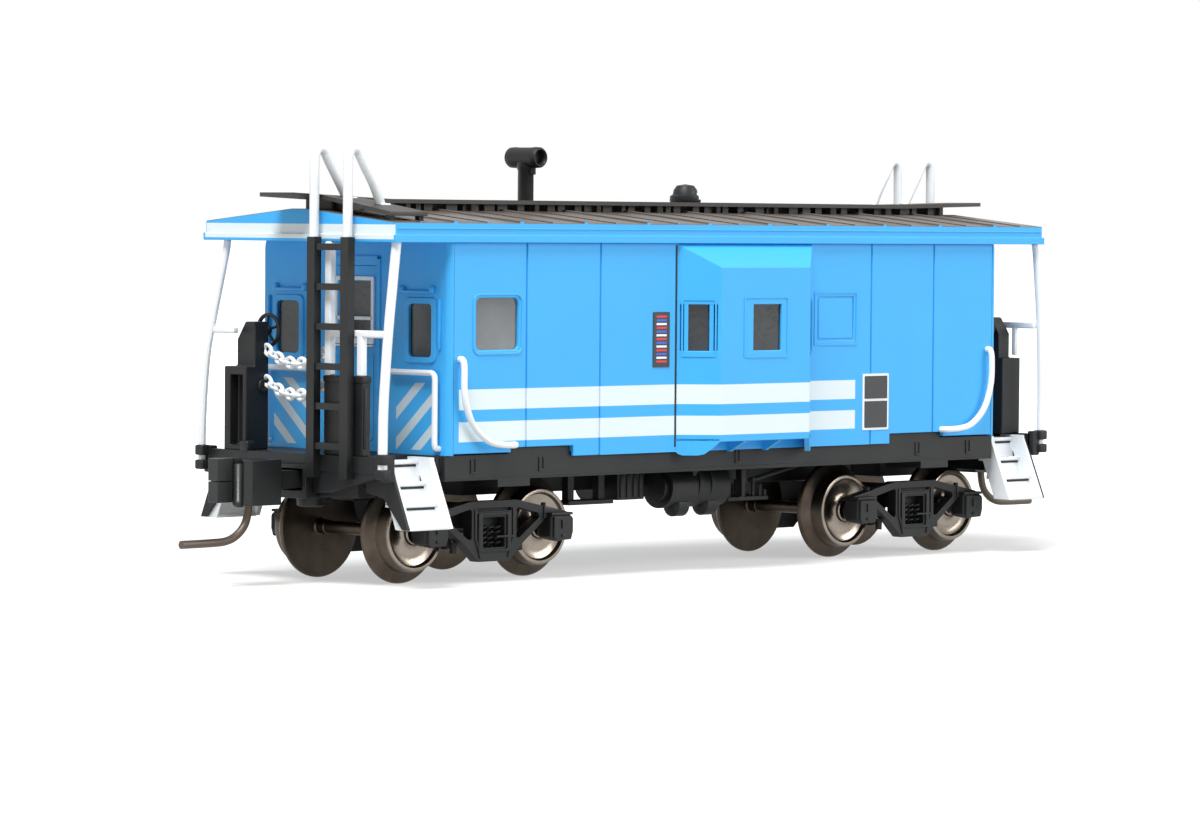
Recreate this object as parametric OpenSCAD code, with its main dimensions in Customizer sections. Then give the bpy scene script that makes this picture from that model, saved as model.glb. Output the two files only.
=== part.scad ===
// Model bay window caboose for 9 mm gauge track.
// X runs along the car, Y across it, Z is up from the flange bottoms at Z = 0.
// The car is the same seen from either end: what stands at the -X end stands again,
// turned half a turn about Z, at the +X end.

/* [Body] */
// Length over the end walls
body_l = 55.6; // [52:0.1:67]
// Width over the side walls
body_w = 18.4; // [16.8:0.1:22]
// Height of the lower edge of the walls
body_z = 8.8; // [8.6:0.05:9]
// Height of the underside of the roof
eave_z = 22.75; // [20:0.05:27]
// Thickness of the walls
wall_t = 0.8; // [0.66:0.01:0.96]

/* [Bay] */
// Middle of the bay along its own side, from the middle of the car
bay_x = 0.75; // [-2:0.05:2]
// Length of the bay where it leaves the wall
bay_l = 13.8; // [12:0.1:16]
// Depth of the bay in front of the wall
bay_d = 2; // [1.7:0.1:2.4]
// Slant of the bay's sides, along the car
bay_slant = 2.35; // [2:0.05:2.8]
// Drop of the bay's sloping top
bay_drop = 1.6; // [1.3:0.1:2]

/* [Roof] */
// Overhang of the eaves past the side walls
eave_out = 0.3; // [0.25:0.05:0.6]
// Distance of the roof's end behind the end beam's face
roof_back = 0.15; // [0.12:0.01:0.6]
// Height of the fascia at the eaves
fascia_h = 1.3; // [1.1:0.05:1.55]
// Height of the ridge over the eaves
crown_h = 0.85; // [0.7:0.05:1.1]

/* [Running gear] */
// Distance between the truck pivots
truck_span = 42.8; // [40:0.1:46]
// Distance between the axles of a truck
wheelbase = 11.7; // [10.6:0.1:12.6]
// Diameter of the wheel tread
wheel_d = 5.3; // [4.9:0.05:5.6]
// Diameter over the flange
flange_d = 6.9; // [6.6:0.05:7.1]
// Distance between the backs of the wheels
back_to_back = 7.6; // [7.2:0.05:8]
// Width of a wheel
wheel_w = 1.75; // [1.5:0.05:1.9]
// Diameter of the axle
axle_d = 0.9; // [0.75:0.05:1.1]

/* [Ends] */
// Length of an end platform, from the end wall to the end beam's face
platform_l = 5.25; // [4.9:0.05:6.4]
// Width of the end ladder over its stiles
ladder_w = 4; // [3.4:0.1:4.8]
// Width of a flight of steps along the car
step_w = 4.1; // [3.5:0.1:4.2]
// Reach of the coupler in front of the end beam
coupler_reach = 6.65; // [6.2:0.05:9]
// Height of the coupler's middle
coupler_z = 7; // [6.9:0.05:7.2]

/* [Hidden] */
$fn = 48;
axle_z = flange_d / 2;
truck_x = truck_span / 2;
wall_x = body_l / 2;
wall_y = body_w / 2;
deck_z = body_z - 0.1;
deck_t = 0.7;
sill_z = deck_z - 1.45;
skirt_z = sill_z - 0.25;
sill_y = wall_y - 0.3;
girder_y = 1.7;
girder_z = 5.5;
beam_x = wall_x + platform_l;
beam_t = 0.65;
beam_y = wall_y - 0.5;
roof_z = eave_z + fascia_h;
roof_l = 2 * (beam_x - roof_back);
roof_w = body_w + 2 * eave_out;
ridge_w = 0.8;
bearing_gap = 0.075;

// Places of the windows
win_z = [15.1, 18.8];
win_mid = (win_z[0] + win_z[1]) / 2;
side_win_x = [-wall_x + 2.5, -wall_x + 6.5];
end_win_y = [wall_y - 3.9, wall_y - 1.5];
door_w = 4.6;
door_h = eave_z - deck_z - 1.6;
blank_x = [bay_x + bay_l / 2 + 0.6, bay_x + bay_l / 2 + 4.45];

// Wheelset
wheel_in = back_to_back / 2;
wheel_out = wheel_in + wheel_w;
frame_in = wheel_out + 0.45;
frame_t = 1.25;
journal_d = 0.6;

// Truck
bolster_top = sill_z - 0.45;
plate_z = bolster_top + 0.05;
pin_d = 1.5;
pin_top = plate_z + 1.4;

// Coupler
pivot_x = beam_x - 2.05;
coupler_x = beam_x + coupler_reach;
box_w = 3.4;
box_h = 2.5;
box_out = 0.55;
box_back = 1.6;
shank_h = 1.2;

// Roof ribs
rib_gap = 6.08;
rib_n = floor((roof_l / 2 - 2) / rib_gap);

// Roof walk and its gear
walk_z = roof_z + crown_h + 0.7;
walk_t = 0.28;
walk_w = 3.3;
lateral_x = [wall_x + 1.2, roof_l / 2 - 0.5];
lateral_y = 8.4;
lateral_drop = 0.85;

// End ladder, on the near side of the -X end
ladder_d = 0.6;
ladder_x = beam_x + ladder_d / 2;
ladder_y = -3.75;
stile_t = 0.75;
rung_gap = 2.62;
ladder_foot = deck_z - 1.5;
arch_top = roof_z + 5;

// End rail
rail_t = 0.7;
rail_x = beam_x - rail_t / 2;
post_d = 0.6;
post_y = wall_y - 0.3;
stand_x = beam_x - 0.15;
stand_d = 2.05;
box_top = deck_z + 5.25;
mid_z = deck_z + 8;
stand_y = [5.08, 7.3];
low_box_y = [-6.45, -2.65];
low_box_d = 0.7;

// A box from its low corner to its high corner.
module span(lo, hi) {
  translate(lo) cube(hi - lo);
}

// A round wire through the points, with a ball at each bend.
module wire(points, d) {
  for (i = [0 : len(points) - 2]) {
    v = points[i + 1] - points[i];
    translate(points[i])
      rotate([0, acos(v[2] / norm(v)), atan2(v[1], v[0])])
        cylinder(d = d, h = norm(v), $fn = 24);
  }
  for (i = [1 : len(points) - 2]) translate(points[i]) sphere(d = d * 1.12, $fn = 24);
}

// What belongs to the -X end, or the same turned to the +X end.
module at_end(b) {
  rotate([0, 0, b ? 180 : 0]) children();
}

// ---------------------------------------------------------------- underframe

module underframe() {
  color("#26282a") difference() {
    union() {
      span([-wall_x, -sill_y, deck_z - deck_t], [wall_x, sill_y, deck_z]);
      for (s = [-1, 1]) {
        translate([-wall_x, s > 0 ? sill_y - 0.8 : -sill_y, skirt_z])
          cube([body_l, 0.8, deck_z - skirt_z]);
      }
      // Centre girder, deep between the trucks and shallower over the axles
      span([-truck_x, -1.5, sill_z - 0.2], [truck_x, 1.5, deck_z - deck_t]);
      span([-truck_x + 2.2, -girder_y, girder_z], [truck_x - 2.2, girder_y, deck_z - deck_t]);
      // Flat guard plate on two posts, beside the front truck
      span([-truck_x + 10.1, -4, 4.65], [-truck_x + 14.5, -2.6, 4.95]);
      for (x = [10.4, 13.4])
        span([-truck_x + x, -3.6, 4.8], [-truck_x + x + 0.6, -3, deck_z - deck_t + 0.1]);
      for (b = [false, true]) at_end(b) end_frame();
    }
    for (b = [false, true]) at_end(b) {
      translate([-truck_x, 0, plate_z - 1]) cylinder(d = pin_d, h = pin_top - plate_z + 1.2);
      // Pocket for the coupler's box
      span([-beam_x - 1, -box_w / 2, sill_z - 1], [-pivot_x + box_back, box_w / 2, deck_z - deck_t]);
    }
  }
}

// Bolster, girder, deck, end beam with its wings, and cross sill of one end.
module end_frame() {
  deck_y = wall_y - 3.05;
  sill_h = 1.1;
  under = deck_z - deck_t;
  box_side = box_w / 2 + 0.05;
  beam_back = -beam_x + beam_t;
  span([-truck_x - 1.1, -sill_y, sill_z], [-truck_x + 1.1, sill_y, under]);
  translate([-truck_x, 0, plate_z]) cylinder(d = 3.6, h = deck_z - plate_z - 0.2);
  span([-truck_x - 7.9, -girder_y, girder_z], [-truck_x - 2.2, girder_y, under]);
  span([-beam_x, -deck_y, under], [-wall_x + 0.5, deck_y, deck_z]);
  span([-beam_x, -beam_y, deck_z - sill_h], [beam_back, beam_y, deck_z]);
  span([-wall_x - 0.4, -beam_y + 0.2, deck_z - sill_h], [-wall_x + 0.4, beam_y - 0.2, deck_z]);
  for (s = [0, 1]) mirror([0, s, 0]) {
    // Bolster's end under the sill, and the sill's step up over the truck
    span([-truck_x - 1.5, -sill_y, sill_z - 0.75], [-truck_x + 1.5, -sill_y + 3.4, sill_z + 0.1]);
    // Wing from the coupler's box out to the steps, and the filling behind it
    translate([-beam_x + 0.05, 0, 0]) rotate([90, 0, 90]) linear_extrude(height = beam_t - 0.1)
      polygon([
        [-box_side, deck_z - 0.6], [-7.9, deck_z - 0.6], [-7.7, deck_z - 1.4],
        [-3.4, deck_z - 2.45], [-box_side, deck_z - 2.55]
      ]);
    span([beam_back - 0.1, -5.6, deck_z - 2.8], [beam_back + 1.5, -box_side, under + 0.1]);
  }
  for (side = [0, 1]) mirror([0, side, 0])
    span([-truck_x - 0.55, -sill_y, deck_z - 0.1], [-truck_x + 5.2, -sill_y + 0.5, body_z + 0.29]);
}

// ---------------------------------------------------------------- car body

// The lower edge of a wall steps up over the trucks and down between them.
module side_outline() {
  low = body_z - 0.4;
  high = body_z + 0.32;
  inner = truck_x - 5.3;
  outer = truck_x + 0.6;
  polygon([
    [-wall_x + 0.5, body_z], [-outer, body_z], [-outer, high], [-inner, high],
    [-inner, low], [inner, low], [inner, high], [outer, high], [outer, body_z],
    [wall_x - 0.5, body_z], [wall_x - 0.5, eave_z], [-wall_x + 0.5, eave_z]
  ]);
}

module side_wall() {
  seam_x = [-wall_x + 7.2, -wall_x + 14.2, wall_x - 13.8, wall_x - 7];
  difference() {
    translate([0, -wall_y, 0]) rotate([90, 0, 0]) mirror([0, 0, 1])
      linear_extrude(height = wall_t) side_outline();
    // Seat on the deck: only a thin skirt hangs outside the sill
    span([-wall_x, -sill_y - 0.05, 0], [wall_x, 0, deck_z]);
    span([side_win_x[0], -wall_y - 1, win_z[0] + 0.5], [side_win_x[1], 0, win_z[1] + 0.3]);
    // Opening behind the bay
    span([bay_x - bay_l / 2 + 0.6, -wall_y - 1, body_z + 0.7],
         [bay_x + bay_l / 2 - 0.6, 0, eave_z - 0.8]);
    for (x = seam_x) {
      span([x - 0.07, -wall_y - 1, 0], [x + 0.07, -wall_y + 0.12, eave_z + 1]);
    }
    difference() {
      span([blank_x[0], -wall_y - 1, win_z[0] + 0.8], [blank_x[1], -wall_y + 0.1, win_z[1] + 0.2]);
      span([blank_x[0] + 0.14, -wall_y - 1, win_z[0] + 0.94],
           [blank_x[1] - 0.14, -wall_y + 0.1, win_z[1] + 0.06]);
    }
  }
}

module end_wall() {
  difference() {
    union() {
      span([-wall_x, -wall_y, deck_z], [-wall_x + 0.5, wall_y, eave_z]);
      span([-wall_x + 0.4, -wall_y + wall_t, deck_z], [-wall_x + wall_t, wall_y - wall_t, eave_z]);
    }
    for (s = [-1, 1]) {
      y = s > 0 ? end_win_y[0] : -end_win_y[1];
      translate([-wall_x - 1, y, win_z[0]])
        cube([3, end_win_y[1] - end_win_y[0], win_z[1] - win_z[0]]);
    }
    span([-wall_x - 1, -door_w / 2, body_z - 1], [-wall_x + 2, door_w / 2, deck_z + door_h]);
  }
}

module door() {
  difference() {
    span([-wall_x + 0.12, -door_w / 2 + 0.03, deck_z + 0.02],
         [-wall_x + 0.62, door_w / 2 - 0.03, deck_z + door_h - 0.03]);
    span([-wall_x - 1, -1.5, 16.3], [-wall_x + 2, 1.5, 20.1]);
  }
}

// Plan of the bay, or of its hollow where t is the thickness of its panels.
module bay_plan(t = 0) {
  half = bay_l / 2 - t;
  front = half - bay_slant + t * 0.45;
  polygon([[-half, 0], [-front, -bay_d + t], [front, -bay_d + t], [half, 0]]);
}

module bay() {
  panel = 0.65;
  low = body_z + 0.3;
  top = eave_z - 0.03;
  front_w = 3.2;
  side_w = 1.9;
  win_h = 3.2;
  slope_out = 1;
  translate([bay_x, -wall_y, 0]) difference() {
    translate([0, 0, low]) linear_extrude(height = top - low) bay_plan();
    translate([0, 0, low + panel]) linear_extrude(height = top - low - panel - bay_drop)
      bay_plan(panel);
    // Sloping top
    translate([-bay_l, 0, top]) rotate([90, 0, 90]) linear_extrude(height = 2 * bay_l) polygon([
      [0, 0], [-bay_d - slope_out, -bay_drop * (1 + slope_out / bay_d)],
      [-bay_d - slope_out, 1], [0, 1]
    ]);
    // Front window, then the two side windows
    translate([0, -bay_d, win_mid]) cube([front_w, 3 * panel, win_h], center = true);
    for (s = [-1, 1]) translate([s * (bay_l - bay_slant) / 2, -bay_d / 2, win_mid])
      rotate([0, 0, -s * atan2(bay_slant, bay_d)]) cube([side_w, 4 * panel, win_h], center = true);
  }
}

module glazing() {
  t = 0.3;
  color("#6f7a80", 0.8) for (b = [false, true]) at_end(b) {
    span([side_win_x[0] - 0.3, -wall_y + wall_t + 0.01, win_z[0] + 0.2],
         [side_win_x[1] + 0.3, -wall_y + wall_t + t, win_z[1] + 0.6]);
    for (s = [-1, 1]) {
      y = s > 0 ? end_win_y[0] : -end_win_y[1];
      translate([-wall_x + wall_t + 0.01, y - 0.2, win_z[0] - 0.3])
        cube([t, end_win_y[1] - end_win_y[0] + 0.4, win_z[1] - win_z[0] + 0.6]);
    }
    span([-wall_x + 0.63, -1.8, 16], [-wall_x + 0.93, 1.8, 20.4]);
    translate([bay_x, -wall_y, 0])
      span([-1.8, -bay_d + 0.66, win_z[0] - 0.2], [1.8, -bay_d + 0.96, win_z[1] + 0.2]);
  }
}

// ---------------------------------------------------------------- roof

// The roof's outline across the car, raised by h over the slopes.
module roof_profile(h = 0) {
  edge = roof_w / 2 - 0.12;
  polygon([
    [-edge, eave_z], [edge, eave_z], [edge, roof_z + h],
    [ridge_w, roof_z + crown_h + h], [-ridge_w, roof_z + crown_h + h], [-edge, roof_z + h]
  ]);
}

// The roof without its ribs, to cut what stands on it.
module roof_solid() {
  rotate([90, 0, 90]) linear_extrude(height = roof_l - 0.3, center = true) roof_profile();
}

// Height of the roof's surface at a distance y from the middle.
function roof_at(y) =
  roof_z + crown_h * (1 - max(0, y - ridge_w) / (roof_w / 2 - 0.12 - ridge_w));

module roof_ribs() {
  rib_t = 0.35;
  for (i = [0.5 : rib_n], s = [-1, 1]) translate([s * i * rib_gap, 0, 0])
    rotate([90, 0, 90]) linear_extrude(height = rib_t, center = true) roof_profile(0.13);
}

module roof() {
  color("#3a3a3a") difference() {
    union() {
      roof_solid();
      roof_ribs();
      // Lower band of the fascia
      span([-roof_l / 2, -roof_w / 2, eave_z], [roof_l / 2, roof_w / 2, eave_z + 0.5]);
    }
    // Hollow under the crown, inside the walls
    span([-wall_x + wall_t + 0.5, -wall_y + wall_t + 0.5, eave_z - 1],
         [wall_x - wall_t - 0.5, wall_y - wall_t - 0.5, eave_z + 0.9]);
  }
}

module running_board() {
  tip = roof_l / 2 + 1.9;
  under = walk_z - walk_t;
  color("#4a4742") {
    span([-tip, -walk_w / 2, under], [tip, walk_w / 2, walk_z]);
    // Side boards, sloped like the roof under them
    for (b = [false, true]) at_end(b) translate([-lateral_x[1], 0, 0]) rotate([90, 0, 90])
      linear_extrude(height = lateral_x[1] - lateral_x[0]) polygon([
        [-lateral_y, walk_z - lateral_drop], [0.1 - walk_w / 2, walk_z],
        [0.1 - walk_w / 2, under], [-lateral_y, under - lateral_drop]
      ]);
    difference() {
      union() {
        // Feet under the outer edge of each side board
        for (b = [false, true], x = [lateral_x[0] + 0.4, lateral_x[1] - 0.4]) at_end(b)
          translate([-x, -lateral_y + 0.4, roof_z]) translate([-0.2, -0.2, 0])
            cube([0.4, 0.4, under - roof_z - lateral_drop + 0.1]);
        // Blocks that carry the walk between the ribs
        for (i = [0 : rib_n], s = [-1, 1]) translate([s * i * rib_gap, 0, roof_z])
          translate([-0.2, 0.1 - walk_w / 2, 0]) cube([0.4, walk_w - 0.2, under - roof_z + 0.1]);
      }
      roof_solid();
    }
  }
}

module smokestack() {
  y = 3.5;
  base = roof_at(y);
  head = base + 4;
  color("#2b2826") translate([-8.3, y, 0]) {
    difference() {
      translate([0, 0, base - 0.3]) cylinder(d = 1.2, h = head - base + 0.3);
      translate([8.3, -y, 0]) roof_solid();
    }
    difference() {
      translate([0, 1.5, head]) rotate([90, 0, 0]) cylinder(d = 1.45, h = 3);
      for (s = [-1, 1]) translate([0, s * 1.1, head])
        rotate([90, 0, 0]) cylinder(d = 1, h = 1, center = true);
    }
  }
}

module roof_vent() {
  y = 3;
  base = roof_at(y);
  color("#2b2826") difference() {
    translate([7.4, y, base - 0.3]) {
      cylinder(d = 1.7, h = 1.3);
      translate([0, 0, 1.2]) rotate_extrude() polygon([
        [0, 0], [0.8, 0], [1.1, 0.35], [1.1, 0.6], [0.7, 0.95], [0.35, 1.3], [0, 1.35]
      ]);
    }
    roof_solid();
  }
}

// ---------------------------------------------------------------- inside

module weight() {
  color("#8f8f8c")
    span([-wall_x + 4, -wall_y + 2.6, deck_z + 0.05], [wall_x - 4, wall_y - 2.6, deck_z + 2.4]);
}

// ---------------------------------------------------------------- ends

// One flight of steps on the near side: two cheeks, and four treads joined by upright risers.
module steps() {
  x1 = beam_x - beam_t - 0.03;
  x0 = x1 - step_w;
  y_top = -wall_y + 0.82;
  y_low = -wall_y - 1.05;
  y_in = -wall_y + 3;
  z_top = deck_z - 0.1;
  z_low = 4;
  rise = 1.4;
  tread = 0.25;
  cheek_t = 0.35;
  color("#e8eaec") {
    for (x = [-x1, -x0 - cheek_t]) translate([x, 0, 0]) rotate([90, 0, 90])
      linear_extrude(height = cheek_t) polygon([
        [y_top, z_top], [y_top, z_top - 0.33], [y_low, z_low], [y_low + 1.44, z_low],
        [y_top + 0.95, z_top - rise], [y_in, z_top - rise], [y_in, z_top]
      ]);
    translate([-x1 + cheek_t - 0.05, 0, 0]) rotate([90, 0, 90])
      linear_extrude(height = step_w - 2 * cheek_t + 0.1) polygon([
        [y_in, z_top - tread], [y_in - 0.8, z_top - tread], [y_in - 0.8, z_low + 2 * rise],
        [y_in - 1.6, z_low + 2 * rise], [y_in - 1.6, z_low + rise], [y_in - 2.6, z_low + rise],
        [y_in - 2.6, z_low], [y_low, z_low], [y_low, z_low + tread], [y_in - 2.85, z_low + tread],
        [y_in - 2.85, z_low + rise + tread], [y_in - 1.85, z_low + rise + tread],
        [y_in - 1.85, z_low + 2 * rise + tread], [y_in - 1.05, z_low + 2 * rise + tread],
        [y_in - 1.05, z_top], [y_in, z_top]
      ]);
  }
}

module ladder() {
  half = (ladder_w - stile_t) / 2;
  rung_h = 0.44;
  top = eave_z + 0.3;
  color("#26282a") translate([-ladder_x, ladder_y, 0]) {
    for (s = [-1, 1]) span([-ladder_d / 2, s * half - stile_t / 2, ladder_foot],
                           [ladder_d / 2, s * half + stile_t / 2, top]);
    for (i = [0 : 5]) translate([-0.2, -half, top - 0.65 - rung_h / 2 - i * rung_gap])
      cube([0.4, 2 * half, rung_h]);
  }
}

// White top of the ladder: two stiles that bend over and lean back down to the side board.
module ladder_top() {
  half = (ladder_w - stile_t) / 2;
  reach = 2.9;
  h = ladder_d / 2;
  fall = lateral_drop / (lateral_y + 0.1 - walk_w / 2);
  color("#f2f3f4") for (y = [ladder_y - half, ladder_y + half]) {
    foot_z = walk_z + fall * (y - 0.1 + walk_w / 2) + 0.03;
    translate([-ladder_x, y + h, 0]) rotate([90, 0, 0]) linear_extrude(height = ladder_d) polygon([
      [-h, eave_z + 0.31], [-h, arch_top - 0.85], [0, arch_top - 0.15], [0.6, arch_top + 0.05],
      [1.2, arch_top - 0.35], [reach + h, walk_z + 0.4], [reach + h, foot_z], [reach - h, foot_z],
      [reach - h, walk_z + 0.3], [0.85, arch_top - 0.7], [0.6, arch_top - 0.55],
      [0.35, arch_top - 0.65], [h, arch_top - 0.95], [h, eave_z + 0.31]
    ]);
  }
}

// Corner posts on the beam's face, bent back under the roof, and the rails between them.
module end_rail() {
  h = 0.6;
  foot_x = beam_x + post_d / 2;
  head_x = roof_l / 2 - 0.45;
  color("#f2f3f4") for (s = [-1, 1]) {
    wire([
      [-foot_x, s * post_y, deck_z - 1.3], [-foot_x, s * post_y, deck_z + 1],
      [-rail_x - 0.3, s * post_y, mid_z], [-head_x, s * post_y, eave_z - 0.4],
      [-head_x, s * post_y, eave_z]
    ], post_d);
    // Feet on the beam
    for (z = [deck_z - 1.1, deck_z - 0.1])
      span([-foot_x - 0.35, s * post_y - 0.4, z - 0.25], [-beam_x, s * post_y + 0.4, z + 0.25]);
  }
  color("#f2f3f4") translate([-rail_x, 0, 0]) {
    // Near rail with the two posts on the low cabinet
    span([-rail_t / 2, -post_y, mid_z - h / 2], [rail_t / 2, low_box_y[1] - 0.1, mid_z + h / 2]);
    span([-rail_t / 2, low_box_y[1] - 0.7, box_top], [rail_t / 2, low_box_y[1] - 0.1, eave_z]);
    span([-rail_t / 2, low_box_y[0] + 0.05, box_top], [rail_t / 2, low_box_y[0] + 0.65, mid_z]);
    // Far rail, to the brake stand
    span([-rail_t / 2, stand_y[1] - 0.3, mid_z - h / 2], [rail_t / 2, post_y, mid_z + h / 2]);
  }
}

// Brake stand: a wide foot and a narrower, chamfered head set back from its face.
module brake_stand() {
  head_y = [stand_y[0], stand_y[1] - 0.4];
  top = deck_z + 8.6;
  color("#26282a") {
    difference() {
      span([-stand_x, stand_y[0], deck_z], [-stand_x + stand_d, stand_y[1], box_top + 0.35]);
      // Slot in the outer face
      span([-stand_x - 1, stand_y[0] + 0.35, deck_z + 0.3],
           [-stand_x + 0.8, stand_y[1] - 0.6, box_top - 0.2]);
    }
    translate([-stand_x + rail_t + 0.1, 0, 0]) rotate([90, 0, 90])
      linear_extrude(height = stand_d - rail_t - 0.1) polygon([
        [head_y[0], box_top + 0.3], [head_y[1], box_top + 0.3], [head_y[1], top - 1.2],
        [head_y[1] - 0.8, top], [head_y[0] + 0.1, top], [head_y[0], top - 0.6]
      ]);
  }
}

// Spoked wheel, facing the car, on the stand's inner face.
module brake_wheel() {
  r = 1.05;
  ring = 0.3;
  color("#26282a") translate([-stand_x + stand_d, 5.85, mid_z]) rotate([0, 90, 0]) {
    cylinder(d = 0.7, h = 0.8);
    translate([0, 0, 0.55]) {
      rotate_extrude() translate([r, 0]) circle(d = ring, $fn = 16);
      for (a = [0 : 72 : 359]) rotate([0, 0, a]) translate([0, -0.12, -0.12]) cube([r, 0.24, 0.24]);
    }
  }
}

// Low cabinet on the deck, behind the ladder.
module platform_box() {
  color("#26282a")
    span([-stand_x, low_box_y[0], deck_z], [-stand_x + low_box_d, low_box_y[1], box_top]);
}

// Two sagging chains from the stand's back corner to the inner post, link by link.
module chains() {
  thick = 0.4;
  n = 5;
  start = [-stand_x + stand_d - 0.3, stand_y[0] - 0.03];
  run = [-rail_x, low_box_y[1] + 0.02] - start;
  step = norm(run) / n;
  sag = 0.8;
  color("#f2f3f4") translate([start[0], start[1], 0]) rotate([0, 0, atan2(run[1], run[0])])
    for (z = [mid_z - 1.2, mid_z - 3.3], i = [0 : n - 1]) {
      t = (i + 0.5) / n;
      translate([step * (i + 0.5), 0, z - sag * 4 * t * (1 - t)])
        rotate([90, 0, 0]) linear_extrude(height = thick, center = true) difference() {
          square([step + 0.02, 0.95], center = true);
          circle(d = 0.4, $fn = 16);
        }
    }
}

module grab_irons() {
  d = 0.45;
  x = -wall_x;
  y = -wall_y - 0.45;
  corner = -wall_y + 0.85;
  color("#f2f3f4") for (side = [0, 1]) mirror([0, side, 0]) {
    // Side grab iron: down past the corner, then along the sill
    wire([
      [x + 1, -wall_y, 15], [x + 1, y, 15], [x + 0.9, y, 13], [x + 1.4, y, 11.2],
      [x + 3.2, y, 9.6], [x + 5.9, y, 9.3], [x + 5.9, -wall_y, 9.3]
    ], d);
    // End grab iron beside the door: across, then down the corner
    wire([[x, -4.1, 14.15], [x - 0.45, -4.1, 14.15], [x - 0.45, corner, 14.15],
          [x - 0.45, corner, 9.3], [x, corner, 9.3]], d);
  }
}

// ---------------------------------------------------------------- brake gear

module air_reservoir() {
  color("#26282a") translate([-2.5, -4, sill_z - 1.6]) rotate([0, 90, 0]) {
    cylinder(d = 3, h = 5.9);
    translate([0, 0, -0.4]) cylinder(d = 2.2, h = 6.7);
  }
  color("#26282a") span([0.2, -4.2, sill_z - 0.5], [0.8, -1.8, deck_z - deck_t]);
}

module brake_cylinder() {
  color("#26282a") translate([-1, 4.2, sill_z - 1.6]) rotate([0, 90, 0]) {
    cylinder(d = 2.6, h = 2.6);
    translate([0, 0, -0.01]) cylinder(d = 3.2, h = 0.35);
    translate([0, 0, 2.6]) cylinder(d = 0.8, h = 1);
  }
  color("#26282a") span([0, 3.5, sill_z - 0.6], [0.6, 4.5, deck_z - deck_t]);
}

module control_valve() {
  color("#26282a") {
    span([-6.6, -4.1, sill_z - 2.4], [-3.9, -2, sill_z - 0.4]);
    span([-5.8, -3.6, sill_z - 0.5], [-4.8, -2.2, deck_z - deck_t]);
  }
}

module brake_rigging() {
  color("#26282a") {
    span([4.1, -4.6, sill_z - 2.8], [8.3, -2.4, sill_z - 2.5]);
    for (x = [4.7, 7.4]) span([x, -3, sill_z - 2.6], [x + 0.6, -2.4, deck_z - deck_t]);
  }
}

// ---------------------------------------------------------------- couplers

module coupler_box() {
  low = coupler_z - box_h / 2;
  face = beam_x + box_out;
  slot = box_w / 2 - 0.35;
  slot_h = shank_h + 0.24;
  color("#26282a") {
    difference() {
      span([-face, -box_w / 2, low], [-pivot_x + box_back, box_w / 2, deck_z - deck_t]);
      span([-face - 1, -slot, coupler_z - slot_h / 2],
           [-pivot_x + box_back - 0.4, slot, coupler_z + slot_h / 2]);
    }
    translate([-pivot_x, 0, low - 0.3]) cylinder(d = 1.9, h = 0.3);
    translate([-pivot_x, 0, low]) cylinder(d = 1, h = deck_z - deck_t - low);
  }
}

module coupler() {
  z0 = coupler_z - shank_h / 2;
  tip = coupler_x;
  color("#2b2c2d") {
    difference() {
      union() {
        translate([-pivot_x, 0, z0]) cylinder(d = 2.1, h = shank_h);
        span([-tip + 4, -0.7, z0], [-pivot_x, 0.7, z0 + shank_h]);
      }
      translate([-pivot_x, 0, z0 - 1]) cylinder(d = 1.16, h = shank_h + 2);
    }
    // Head: guard on the near side, knuckle in front of it on the far side
    translate([0, 0, coupler_z - 1.6]) linear_extrude(height = 3) polygon([
      [-tip + 4.3, 0.9], [-tip + 4.3, -1.35], [-tip + 1.7, -1.35], [-tip + 1.5, -0.75],
      [-tip + 1.8, -0.3], [-tip + 2.3, -0.1], [-tip + 2.3, 0.9]
    ]);
    translate([0, 0, coupler_z - 1.4]) linear_extrude(height = 2.9)
      polygon([
        [-tip + 2.6, 0.15], [-tip + 2.6, 1.35], [-tip + 0.3, 1.35], [-tip, 1.05],
        [-tip, 0.1], [-tip + 1.3, 0.1], [-tip + 1.7, 0.35]
      ]);
  }
}

// Bent wire under the head: down, round, then outward along the track.
module trip_pin() {
  wire_d = 0.55;
  r = 2.4;
  top = coupler_z - 1.6;
  color("#6b6259") translate([-coupler_x + 2.6, 0, top]) {
    translate([-r, 0, 0]) rotate([90, 0, 0]) rotate([0, 0, -90])
      rotate_extrude(angle = 90) translate([r, 0]) circle(d = wire_d, $fn = 20);
    translate([-r, 0, -r]) rotate([0, -90, 0]) cylinder(d = wire_d, h = 3.4, $fn = 20);
  }
}

// ---------------------------------------------------------------- trucks

module truck_frame() {
  top = bolster_top;
  half = wheelbase / 2;
  color("#303234") translate([-truck_x, 0, 0]) difference() {
    union() {
      for (s = [-1, 1]) mirror([0, s > 0 ? 1 : 0, 0])
        translate([0, -frame_in, 0]) rotate([90, 0, 0])
          linear_extrude(height = frame_t - 0.2) side_frame();
      // Journal boxes stand proud of the frame
      for (s = [-1, 1]) for (x = [-half, half])
        translate([x, s * (frame_in + frame_t / 2), axle_z])
          cube([2, frame_t, 2.3], center = true);
      // Transom between the frames, with the centre plate on it
      span([-1.5, -frame_in - 0.1, 3.5], [1.5, frame_in + 0.1, 5.1]);
      translate([0, 0, 5]) cylinder(d = 3.4, h = top - 5);
    }
    translate([0, 0, 3]) cylinder(d = pin_d + 0.2, h = top);
    for (s = [-1, 1]) for (x = [-half, half])
      translate([x, s * (frame_in - 0.5), axle_z]) rotate([-s * 90, 0, 0])
        cylinder(d = journal_d + 2 * bearing_gap, h = 1.45);
  }
}

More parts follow.
